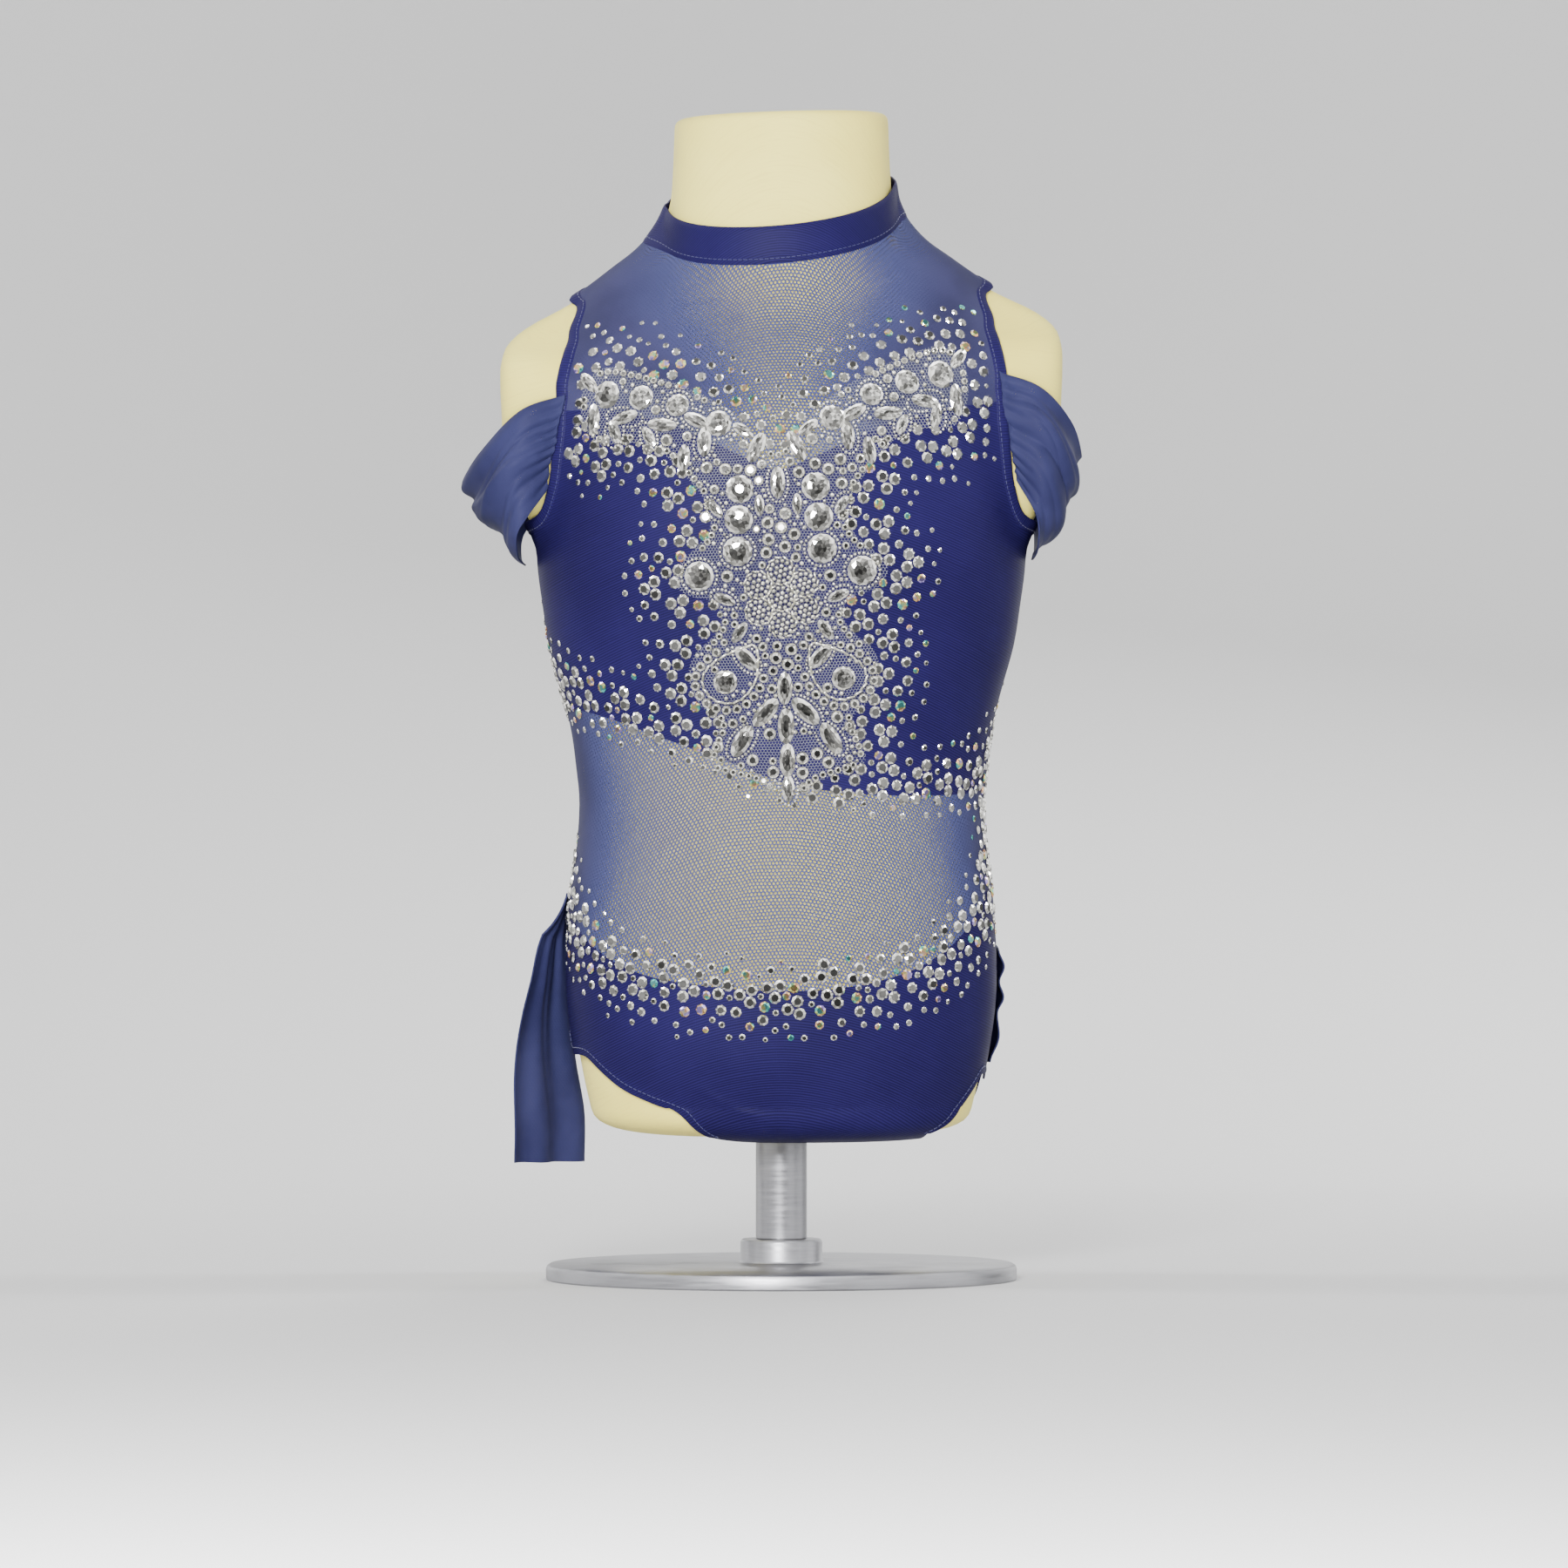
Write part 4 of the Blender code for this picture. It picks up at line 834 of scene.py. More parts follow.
def make_panel(name, chart, material, inside, thick, hem=None, creases=None):
    """A fine panel close over the form, with a thicker turned hem along the columns that have one."""
    base = skin(chart)
    away = normal(base)
    wall = np.full(base.shape[:2], thick)
    if hem is not None:
        folded = 0.5 - 0.5 * np.tanh((rise_along(base) - HEM_WIDTH) / 0.7)
        wall = wall + HEM_EXTRA * folded * hem
    lift = np.full(base.shape[:2], inside)
    if creases is not None:
        lift = lift + creases(base)
    inner = base + away * lift[..., None]
    outer = inner + away * wall[..., None]
    # The closed share also paints the power net's threads: lighter painted light where it is open at the
    # front, darker painted shade as it closes towards the sides.
    u = (CLOSES_FROM - np.abs(away[..., 1])) / (CLOSES_FROM - CLOSES_TO)
    on_yoke = (np.abs(base[..., 0]) - YOKE_OPEN) / (YOKE_CLOSED - YOKE_OPEN)
    on_yoke = on_yoke + np.clip((YOKE_LOW - base[..., 2]) / YOKE_FALL, 0, YOKE_LOW_SHARE)
    u = np.clip(np.where(base[..., 2] > YOKE_FROM, on_yoke, u), 0, 1)
    return make_shell(name, inner, outer, thread_lengths(chart), material, closed=u * u * (3 - 2 * u))


def armhole_sides(side):
    """The armhole's arm edge and body edge as closed loops of stations, in four quarters."""
    low = [(side * x, h) for x, h in ARMHOLE_LOW]
    high = [(side * x, h) for x, h in ARMHOLE_HIGH]
    start = np.array([[90.0 * side, UNDERARM]])
    ridge = np.array([[90.0 * side, RIDGE]])
    rising = front_chart(low)
    quarters = [
        spaced(np.concatenate([start, rising]), ARMHOLE_STEPS),
        spaced(np.concatenate([rising[-1:], front_chart(high), ridge]), ARMHOLE_STEPS),
    ]
    back_start = np.array([[180 - 90.0 * side, UNDERARM]])
    back_ridge = np.array([[180 - 90.0 * side, RIDGE]])
    falling = back_chart(low)
    down = np.concatenate([back_ridge, back_chart(high)[::-1], falling[-1:]])
    quarters.append(spaced(down, ARMHOLE_STEPS))
    quarters.append(spaced(np.concatenate([falling[::-1], back_start]), ARMHOLE_STEPS))
    arm_edge = np.concatenate([skin(q)[:-1] for q in quarters])
    reach = DETAIL
    along = np.roll(arm_edge, -reach, axis=0) - np.roll(arm_edge, reach, axis=0)
    away = np.cross(normal(arm_edge), along)
    away /= np.linalg.norm(away, axis=1, keepdims=True)
    middle = arm_edge.mean(axis=0)
    outward = np.sign(np.sum(away * (arm_edge - middle), axis=1, keepdims=True))
    body_edge = settle(arm_edge + away * outward * BINDING_WIDTH)
    return arm_edge, body_edge


def armhole_run(body_edge, side, quarter):
    """Chart stations of one quarter of a body edge, from the underarm or ridge on."""
    first = quarter * ARMHOLE_STEPS * DETAIL
    rows = [(first + i) % len(body_edge) for i in range(ARMHOLE_STEPS * DETAIL + 1)]
    run = chart_of(body_edge[rows], back=quarter >= 2)
    edge = 90.0 * side if quarter < 2 else 180 - 90.0 * side
    if quarter in (0, 2):
        run[0, 0] = edge
    else:
        run[-1, 0] = edge
    return run


def collar_height(turn):
    """Height of the collar's lower edge, lowest at the front and higher on the wearer's left."""
    t = np.radians(turn)
    return 439.1 - 12.6 * np.cos(t) + 4.15 * np.sin(t) - 2.7 * np.cos(2 * t)


def collar_line(start, end):
    turns = np.linspace(start, end, FRONT_STEPS * DETAIL + 1)
    return np.stack([turns, collar_height(turns)], axis=-1)


def side_line(turn, low, high, count, crowding=1.0):
    places = [(turn, low), (turn, (low + high) / 2), (turn, high)]
    return spaced(places, count, crowding=crowding)


def build_seams():
    """Every seam line, so that the pieces on its two sides share their stations."""
    seams = {}
    for name, side in (("left", -1), ("right", 1)):
        arm_edge, body_edge = armhole_sides(side)
        seams[name + "_arm_edge"] = arm_edge
        seams[name + "_body_edge"] = body_edge
        for quarter in range(4):
            seams[f"{name}_armhole_{quarter}"] = armhole_run(body_edge, side, quarter)
        ridge = seams[name + "_armhole_1"][-1]
        turn = 90.0 * side
        seams[name + "_shoulder"] = side_line(turn, ridge[1], collar_height(turn), 3)
        back = seams[name + "_shoulder"].copy()
        back[:, 0] = 180 - turn
        seams[name + "_shoulder_back"] = back

    left_end = seams["left_armhole_0"][-1:]
    right_end = seams["right_armhole_0"][-1:]
    seams["neckline"] = spaced(np.concatenate([left_end, front_chart(NECKLINE), right_end]), FRONT_STEPS)
    hem_corner = np.array([[RISER_T, RISER_HEM]])
    left_hem = np.array([[-90.0, LEFT_HEM]])
    seams["hem"] = spaced(np.concatenate([left_hem, front_chart(HEM), hem_corner]), 20)
    seams["riser_top"] = spaced(np.array([[RISER_T, RISER_HEM], [90.0, RIGHT_HEM]]), 2)
    left_brief = np.array([[-90.0, LEFT_BRIEF_TOP]])
    brief_top = front_chart(BRIEF_TOP)
    seams["brief_top"] = spaced(np.concatenate([left_brief, brief_top]), 20)
    riser = np.concatenate([brief_top[-1:], front_chart(RISER), np.array(RISER_SIDE, float), hem_corner])
    seams["riser"] = spaced(riser, 8)

    front = under_chart(GUSSET_FRONT)
    back = under_chart(GUSSET_BACK[::-1], back=True)
    left_leg = np.array([[-90.0, LEFT_LEG]])
    right_leg = np.array([[90.0, RIGHT_LEG]])
    seams["left_leg_front"] = spaced(np.concatenate([left_leg, front_chart(LEFT_LEG_FRONT), front[:1]]), 13)
    seams["gusset_front"] = spaced(front, GUSSET_STEPS)
    rising = [front[-1:], under_chart(RIGHT_LEG_UNDER), front_chart(RIGHT_LEG_FRONT), right_leg]
    seams["right_leg_front"] = spaced(np.concatenate(rising), 9)
    right_back = np.array([[90.0, RIGHT_LEG]])
    left_back = np.array([[270.0, LEFT_LEG]])
    seams["right_leg_back"] = spaced(np.concatenate([right_back, back_chart(RIGHT_LEG_BACK), back[:1]]), 6)
    seams["gusset_back"] = spaced(back, GUSSET_STEPS)
    rising = np.concatenate([back[-1:], back_chart(LEFT_LEG_BACK), left_back])
    seams["left_leg_back"] = spaced(rising, 8, crowding=1.6)
    return seams


SEAMS = build_seams()


def seat_creases(base):
    """Small soft ridges in the brief where it turns under, at listed places."""
    lift = np.zeros(base.shape[:2])
    for x, h, reach, tilt, width, depth in BRIEF_CREASES:
        c, s = math.cos(math.radians(tilt)), math.sin(math.radians(tilt))
        dx, dh = base[..., 0] - x, base[..., 2] - h
        along, across = c * dx - s * dh, s * dx + c * dh
        front = base[..., 1] < 0
        lift += front * depth * np.exp(-(along / reach) ** 2 - (across / width) ** 2)
    return lift


def leg_columns(first_leg, bottom):
    """1 on a lower edge's columns that lie on a leg opening, and 0 on the gusset between them."""
    columns = np.ones(len(bottom))
    columns[len(first_leg) - 1:len(first_leg) + GUSSET_STEPS * DETAIL] = 0
    return columns


def build_body():
    """The panels of the body: yokes, bodice, midriff, brief, back and gusset."""
    left_under = SEAMS["left_armhole_0"][0, 1]
    right_under = SEAMS["right_armhole_0"][0, 1]
    pieces = {}
    chart = patch(
        SEAMS["neckline"], collar_line(-90, 90),
        chain(SEAMS["left_armhole_1"], SEAMS["left_shoulder"]),
        chain(SEAMS["right_armhole_1"], SEAMS["right_shoulder"]),
    )
    pieces["front_yoke"] = make_panel("yoke_net_front", chart, "net", NET_INSIDE, NET_THICK)
    chart = patch(
        chain(SEAMS["hem"], SEAMS["riser_top"]), SEAMS["neckline"],
        chain(side_line(-90, LEFT_HEM, left_under, 6), SEAMS["left_armhole_0"]),
        chain(side_line(90, RIGHT_HEM, right_under, 6), SEAMS["right_armhole_0"]),
    )
    pieces["front_bodice"] = make_panel("bodice_cloth", chart, "stretch", STRETCH_INSIDE, STRETCH_THICK)
    chart = patch(
        SEAMS["brief_top"], SEAMS["hem"], side_line(-90, LEFT_BRIEF_TOP, LEFT_HEM, 8), SEAMS["riser"])
    pieces["front_midriff"] = make_panel("midriff_net", chart, "net", NET_INSIDE, NET_THICK)
    bottom = chain(SEAMS["left_leg_front"], SEAMS["gusset_front"], SEAMS["right_leg_front"])
    chart = patch(
        bottom, chain(SEAMS["brief_top"], SEAMS["riser"], SEAMS["riser_top"]),
        side_line(-90, LEFT_LEG, LEFT_BRIEF_TOP, BRIEF_ROWS, CROWDING),
        side_line(90, RIGHT_LEG, RIGHT_HEM, BRIEF_ROWS, CROWDING), CROWDING,
    )
    legs = leg_columns(SEAMS["left_leg_front"], bottom)
    pieces["front_brief"] = make_panel("brief_cloth", chart, "stretch", STRETCH_INSIDE, STRETCH_THICK,
                                       hem=legs, creases=seat_creases)

    left_under = SEAMS["left_armhole_3"][-1, 1]
    right_under = SEAMS["right_armhole_3"][-1, 1]
    corners = SEAMS["right_armhole_2"][-1:], SEAMS["left_armhole_2"][-1:]
    yoke_edge = spaced(np.concatenate([corners[0], back_chart(BACK_YOKE_EDGE), corners[1]]), FRONT_STEPS)
    chart = patch(
        yoke_edge, collar_line(90, 270),
        chain(SEAMS["right_armhole_2"][::-1], SEAMS["right_shoulder_back"]),
        chain(SEAMS["left_armhole_2"][::-1], SEAMS["left_shoulder_back"]),
    )
    pieces["back_yoke"] = make_panel("yoke_net_back", chart, "net", NET_INSIDE, NET_THICK)
    bottom = chain(SEAMS["right_leg_back"], SEAMS["gusset_back"], SEAMS["left_leg_back"])
    chart = patch(
        bottom, yoke_edge,
        chain(side_line(90, RIGHT_LEG, right_under, BACK_ROWS, CROWDING), SEAMS["right_armhole_3"][::-1]),
        chain(side_line(270, LEFT_LEG, left_under, BACK_ROWS, CROWDING), SEAMS["left_armhole_3"][::-1]),
        CROWDING,
    )
    legs = leg_columns(SEAMS["right_leg_back"], bottom)
    pieces["back_body"] = make_panel("back_cloth", chart, "stretch", STRETCH_INSIDE, STRETCH_THICK,
                                     hem=legs)

    front = skin(SEAMS["gusset_front"])[:, :2]
    back = skin(SEAMS["gusset_back"])[::-1, :2]
    left = spaced(GUSSET_LEFT, GUSSET_STEPS, lift=underside)
    right = spaced(GUSSET_RIGHT, GUSSET_STEPS, lift=underside)
    plan = patch(front, back, left, right, fade=1.0)
    base = underside(plan)
    away = normal(base)
    inner = base + away * STRETCH_INSIDE
    pieces["gusset"] = make_shell("gusset_cloth", inner, inner + away * STRETCH_THICK, plan, "stretch")
    return pieces


def build_collar():
    """The stand-up neckband: doubled cloth, full between its folded top and its seam."""
    columns, rows = 192, 17
    turns = np.linspace(-180, 180, columns, endpoint=False)
    share = np.linspace(0, 1, rows)[:, None]
    chart = np.stack([turns + 0 * share, collar_height(turns) + share * COLLAR_HEIGHT], axis=-1)
    base = skin(chart)
    away = normal(base)
    full = 1 - np.abs(2 * share - 1) ** 8
    dent = np.exp(-((share * COLLAR_HEIGHT - 2.6) / 0.6) ** 2)
    wall = (COLLAR_THICK * (0.55 + 0.45 * full) - 0.22 * dent) + 0 * turns
    inner = base + away * STRETCH_INSIDE
    ends = np.concatenate([turns, [180.0]])
    marks = np.stack([ends + 0 * share, collar_height(ends) + share * COLLAR_HEIGHT], axis=-1)
    return make_shell("collar_band", inner, inner + away * wall[..., None], thread_lengths(marks),
                      "stretch", ring=True)


def build_binding(name, side):
    """The folded tape that finishes an armhole, fuller along its middle."""
    arm_edge, body_edge = SEAMS[side + "_arm_edge"], SEAMS[side + "_body_edge"]
    share = np.linspace(0, 1, 9)[:, None, None]
    base = settle(arm_edge * (1 - share) + body_edge * share)
    away = normal(base)
    full = 1 - np.abs(2 * share - 1) ** 4
    dent = np.exp(-((share - 0.8) / 0.09) ** 2)
    wall = BINDING_THICK * (0.5 + 0.5 * full) - 0.2 * dent
    inner = base + away * STRETCH_INSIDE
    length = run_length(np.concatenate([arm_edge, arm_edge[:1]]))
    marks = np.stack([0 * share[..., 0] + length, share[..., 0] * BINDING_WIDTH + 0 * length], axis=-1)
    return make_shell(name, inner, inner + away * wall, marks[..., ::-1], "stretch", ring=True)


def sheet_normals(grid):
    face = np.cross(np.gradient(grid, axis=1), np.gradient(grid, axis=0))
    return face / np.linalg.norm(face, axis=-1, keepdims=True)


def hanging_shell(name, grid, thick, material):
    """A shell of free-hanging cloth around a grid, on the side away from the form."""
    away = sheet_normals(grid)
    outward = np.sign(np.sum(away * normal(grid), axis=-1).mean())
    across = np.linalg.norm(np.diff(grid, axis=1), axis=-1).mean(axis=0)
    down = np.linalg.norm(np.diff(grid, axis=0), axis=-1).mean(axis=1)
    u = np.concatenate([[0], np.cumsum(across)])
    v = np.concatenate([[0], np.cumsum(down)])
    marks = np.stack(np.meshgrid(u, v), axis=-1)
    return make_shell(name, grid, grid + away * outward * thick, marks, material)


def build_sleeve(name, guides, side):
    """An off-shoulder drape of doubled net that loops round the arm stump in soft folds."""
    stations = [np.array(s, float) for s in guides]
    mirrored = [np.stack([s[:, 0], SLEEVE_MIRROR_Y - s[:, 1], s[:, 2]], axis=1) for s in stations]
    loop = np.stack(stations + mirrored[-2::-1])
    along = smooth_curve(np.linspace(0, 1, len(loop)), loop.reshape(len(loop), -1))
    u = np.linspace(0, 1, 121)
    lines = along(u).reshape(len(u), 3, 3)
    v = np.linspace(0, 1, 61)
    across = smooth_curve(np.array([0, 0.5, 1]), lines.transpose(1, 0, 2).reshape(3, -1))
    grid = across(v).reshape(len(v), len(u), 3)
    ease = np.sin(np.pi * np.clip(u, 0.04, 0.96))[None, :] ** 0.6
    v = v[:, None]
    wave = np.sin(2 * np.pi * SLEEVE_WAVES * v) * ease * SLEEVE_WAVE_DEPTH
    end = np.minimum(u, 1 - u)[None, :]
    gather = np.exp(-(end / 0.10) ** 1.5) * np.clip(end / 0.02, 0.3, 1)
    wave = wave + gather * 0.8 * np.sin(2 * np.pi * (8.5 * v + 0.35 * side * np.sin(7 * v)))
    for at, slope, width, depth in SLEEVE_CREASES:
        line = at + slope * (end - 0.2)
        wave = wave + depth * np.exp(-((v - line) / width) ** 2) * np.clip((end - 0.03) / 0.12, 0, 1)
    grid = grid + sheet_normals(grid) * wave[..., None]
    return hanging_shell(name, keep_clear(grid, OVERLAY_CLEARANCE), SLEEVE_THICK, "doubled")


def build_tail():
    """The sash's hanging end, on the hip at its top and free below."""
    rows, columns = 121, 49
    edges = []
    for table in (TAIL_OUTER, TAIL_INNER):
        line = smooth_curve(np.linspace(0, 1, len(table)), np.array(table, float))
        edges.append(line(np.linspace(0, 1, rows)))
    u = np.linspace(0, 1, columns)[None, :, None]
    grid = edges[0][:, None] * (1 - u) + edges[1][:, None] * u
    drop = np.linspace(0, 1, rows)[:, None]
    u = u[..., 0]
    wave = np.sin(2 * np.pi * TAIL_FOLDS * u) * TAIL_FOLD_DEPTH * (0.35 + 0.65 * drop)
    wave = wave + 0.55 * np.sin(2 * np.pi * (4.6 * u + 0.35 * np.sin(2.2 * drop))) * np.exp(-drop / 0.35)
    wave = wave + 0.5 * np.exp(-((u - 0.3 - 0.25 * drop) / 0.05) ** 2) * np.sin(np.pi * drop)
    grid = keep_clear(grid + sheet_normals(grid) * wave[..., None], OVERLAY_CLEARANCE)
    held = np.clip(1 - drop / TAIL_SEWN_SHARE, 0, 1)[..., None]
    grid = grid * (1 - held) + settle(grid, SEATED_CLEARANCE) * held
    return hanging_shell("sash_tail", grid, SLEEVE_THICK, "doubled")


def build_drape():
    """The sash's stretch over the seat, in soft lengthwise folds."""
    rows, columns = 61, 161
    table = np.array(DRAPE, float)
    line = smooth_curve(table[:, 0], table[:, 1:])
    turns = np.linspace(table[0, 0], table[-1, 0], columns)
    middle, half = line(turns).T
    v = np.linspace(-1, 1, rows)[:, None]
    chart = np.stack([turns + 0 * v, middle + half * v], axis=-1)
    fold = 0.5 - 0.5 * np.cos(np.pi * DRAPE_FOLDS * (v + 1)) + 0 * turns
    share = (turns - turns[0]) / (turns[-1] - turns[0])
    small = 0.35 * (1 + np.sin(2 * np.pi * (3.4 * v + 0.9 * np.sin(2.5 * share)))) * np.sin(np.pi * share)
    lift = SEATED_CLEARANCE + DRAPE_FOLD_DEPTH * fold + small
    base = skin(chart)
    away = normal(base)
    inner = base + away * lift[..., None]
    return make_shell("sash_drape", inner, inner + away * SLEEVE_THICK, thread_lengths(chart), "doubled")


def ring_faces(rings, sides):
    """Quads between rings of points that lie one after the other."""
    faces = []
    for low in range(0, (rings - 1) * sides, sides):
        for c in range(sides):
            e = (c + 1) % sides
            faces.append((low + c, low + e, low + sides + e, low + sides + c))
    return faces


def capped(rings, sides):
    """The quads between the rings, and a flat face on each end."""
    last = (rings - 1) * sides
    return ring_faces(rings, sides) + [tuple(reversed(range(sides))), tuple(range(last, last + sides))]


def build_form():
    """The form in its cream cover: rounded underside, shoulder caps and a plain neck top."""
    columns = 240
    turns = np.linspace(0, 2 * math.pi, columns, endpoint=False)
    angle = np.arctan2(GIRTH_STRETCH * np.sin(turns), np.cos(turns))
    rings = []
    for share in np.sin(np.linspace(0.04, 1, 16) * math.pi / 2)[:-1]:
        height = UNDERSIDE_HEIGHT * (1 - (1 - share**UNDERSIDE_SQUARENESS) ** (1 / UNDERSIDE_SQUARENESS))
        rings.append((height, share, 0.0))
    for height in np.linspace(UNDERSIDE_HEIGHT, FORM_TOP - 5, 150):
        rings.append((height, 1.0, 0.0))
    for a in np.linspace(0, math.pi / 2, 6)[1:]:
        rings.append((FORM_TOP - 4 + 4 * math.sin(a), 1.0, 4 - 4 * math.cos(a)))
    rings.append((FORM_TOP, 0.5, 4.0))
    rows = []
    for height, share, inset in rings:
        reach = section_radius(angle, 0 * angle + height) * share - inset
        rows.append(np.stack([reach * np.sin(angle), -reach * np.cos(angle), 0 * angle + height], axis=-1))
    grid = np.stack(rows)
    closed = np.concatenate([grid, grid[:, :1]], axis=1)
    girth = np.concatenate([np.zeros((len(rings), 1)),
                            np.cumsum(np.linalg.norm(np.diff(closed, axis=1), axis=-1), axis=1)], axis=1)
    rise = rise_along(closed)
    marks = np.stack([girth, rise], axis=-1)
    count = len(rings) * columns
    faces = ring_faces(len(rings), columns)
    reads = [corner for r in range(len(rings) - 1) for c in range(columns)
             for corner in ((r, c), (r, c + 1), (r + 1, c + 1), (r + 1, c))]
    last = count - columns
    for c in range(columns):
        e = (c + 1) % columns
        faces.append((e, c, count))
        reads += [(0, c + 1), (0, c), (0, c)]
        faces.append((last + c, last + e, count + 1))
        reads += [(len(rings) - 1, c), (len(rings) - 1, c + 1), (len(rings) - 1, c)]
    tips = np.array([[0, 0, 0.0], [0, 0, FORM_TOP]])
    mesh = bpy.data.meshes.new("form_cover")
    mesh.from_pydata(place(np.concatenate([grid.reshape(-1, 3), tips])).tolist(), [], faces)
    reads = np.array(reads)
    set_thread_map(mesh, marks[reads[:, 0], reads[:, 1]])
    return new_object("form_cover", mesh, "linen")


def turned_piece(name, profile):
    """A stand piece turned about the form's axis, from radius and height above the floor."""
    sides = 128
    points = []
    for radius, height in profile:
        for i in range(sides):
            a = 2 * math.pi * i / sides
            points.append(((FORM_X + radius * math.cos(a)) * MM, radius * math.sin(a) * MM, height * MM))
    mesh = bpy.data.meshes.new(name)
    mesh.from_pydata(points, [], capped(len(profile), sides))
    return new_object(name, mesh, "metal", crisp=35)


# Small parts that repeat, each a few dozen faces at unit size


def faceted(name, rings, sides, reflection_tones, tip=None):
    """A closed stone from rings of (radius, height, half steps turned), flat faced.

    Each ring takes a painted reflection, as brightness, from its own list: bright on the rim, dark on the
    table.
    """
    points, faces = [], []
    for radius, height, shift in rings:
        for i in range(sides):
            a = 2 * math.pi * (i + 0.5 * shift) / sides
            points.append((radius * math.cos(a), radius * math.sin(a), height))
    for r in range(len(rings) - 1):
        twist = rings[r + 1][2] != rings[r][2]
        for c in range(sides):
            e = (c + 1) % sides
            a, b, d, f = r * sides + c, r * sides + e, (r + 1) * sides + c, (r + 1) * sides + e
            if not twist:
                faces.append((a, b, f, d))
            elif rings[r][2] < rings[r + 1][2]:
                faces += [(a, b, d), (b, f, d)]
            else:
                faces += [(a, b, f), (a, f, d)]
    faces.append(tuple(reversed(range(sides))))
    last = (len(rings) - 1) * sides
    if tip is None:
        faces.append(tuple(last + i for i in range(sides)))
    else:
        points.append((0, 0, tip))
        for c in range(sides):
            faces.append((last + c, last + (c + 1) % sides, len(points) - 1))
    mesh = bpy.data.meshes.new(name)
    mesh.from_pydata(points, [], faces)
    deal = random.Random(len(faces))
    rows = ring_numbers(faces, sides, len(rings) - 1)
    painted_reflections = [deal.choice(reflection_tones[min(len(reflection_tones) - 1, ring)]) for ring in rows]
    set_attribute(mesh, "facet", painted_reflections, domain="FACE")
    return bpy.data.objects.new(name, mesh)


def ring_numbers(faces, sides, top):
    """For each face of a stone, the ring that it starts from; the base counts as the first."""
    numbers = []
    for face in faces:
        low = min(i // sides for i in face)
        whole = len(face) == sides and low == max(i // sides for i in face)
        numbers.append(0 if whole and low == 0 else top if whole else low)
    return numbers


def tube_bead(name, sides=6):
    """A bead along X from -1 to 1 with rounded ends, unit radius."""
    profile = ((-1, 0.55), (-0.86, 1), (0.86, 1), (1, 0.55))
    points = []
    for x, radius in profile:
        for i in range(sides):
            a = 2 * math.pi * i / sides
            points.append((x, radius * math.cos(a), radius * math.sin(a)))
    mesh = bpy.data.meshes.new(name)
    mesh.from_pydata(points, [], capped(len(profile), sides))
    return bpy.data.objects.new(name, mesh)


def seed_bead(name):
    mesh = bpy.data.meshes.new(name)
    work = bmesh.new()
    bmesh.ops.create_icosphere(work, subdivisions=1, radius=1.0)
    for point in work.verts:
        point.co.z = point.co.z * 0.8 + 0.7
    work.to_mesh(mesh)
    work.free()
    return bpy.data.objects.new(name, mesh)


# The brightness lists are painted reflections: bright rim and crown faces, dark tables, and a chequer of
# dark and bright on the large domes.
STONES = {
    "chaton": faceted("chaton", [(0.9, 0, 0), (1.0, 0.12, 0), (0.6, 0.42, 1)], 8,
                      [(1.0,), (1.0, 1.0, 0.6), (0.16,)]),
    "large_round": faceted("large_round", [(0.97, 0, 0), (1.0, 0.16, 0), (0.82, 0.3, 1), (0.58, 0.37, 0),
                                           (0.3, 0.405, 1)], 12,
                           [(1.0,), (1.0, 0.9), (0.8, 0.25, 0.5), (0.12, 0.5, 0.25), (0.15, 0.6)],
                           tip=0.415),
    "marquise": faceted("marquise", [(0.94, 0, 0), (1.0, 0.14, 0), (0.66, 0.34, 1), (0.34, 0.39, 0)], 12,
                        [(1.0,), (1.0, 0.8), (0.25, 0.7), (0.1, 0.3)], tip=0.4),
    "cup": faceted("cup", [(0.96, 0, 0), (1.0, 0.3, 0), (0.9, 0.5, 0), (0.78, 0.42, 0)], 10, [(1.0,)]),
    "bead": seed_bead("bead"),
    "bugle": tube_bead("bugle"),
    "stitch": tube_bead("stitch", 5),
}


# Geometry Nodes


def field_node(tree, name, kind):
    return add(tree, "GeometryNodeInputNamedAttribute", {"Name": name}, data_type=kind).outputs["Attribute"]


def start_tree(name, sizes):
    """An empty tree with its inputs: the mesh, the part, its finish, and sizes in millimetres."""
    tree = bpy.data.node_groups.new(name, "GeometryNodeTree")
    face = tree.interface
    for label, kind in (("Geometry", "Geometry"), ("Part", "Object"), ("Finish", "Material")):
        face.new_socket(label, in_out="INPUT", socket_type="NodeSocket" + kind)
    for label, value in sizes:
        face.new_socket(label, in_out="INPUT", socket_type="NodeSocketFloat").default_value = value * MM
    face.new_socket("Geometry", in_out="OUTPUT", socket_type="NodeSocketGeometry")
    given = add(tree, "NodeGroupInput").outputs
    part = add(tree, "GeometryNodeObjectInfo", {"Object": given["Part"]}, transform_space="ORIGINAL")
    return tree, given, part.outputs["Geometry"]


def finish_tree(tree, given, points, part, turn, scale):
    """Copies of the part on the points, made real, in their finish."""
    copies = add(tree, "GeometryNodeInstanceOnPoints", {
        "Points": points, "Instance": part, "Rotation": turn, "Scale": scale})
    whole = add(tree, "GeometryNodeRealizeInstances", {0: copies.outputs[0]})
    done = add(tree, "GeometryNodeSetMaterial", {"Geometry": whole.outputs[0], "Material": given["Finish"]})
    add(tree, "NodeGroupOutput", {0: done.outputs[0]})
    return tree


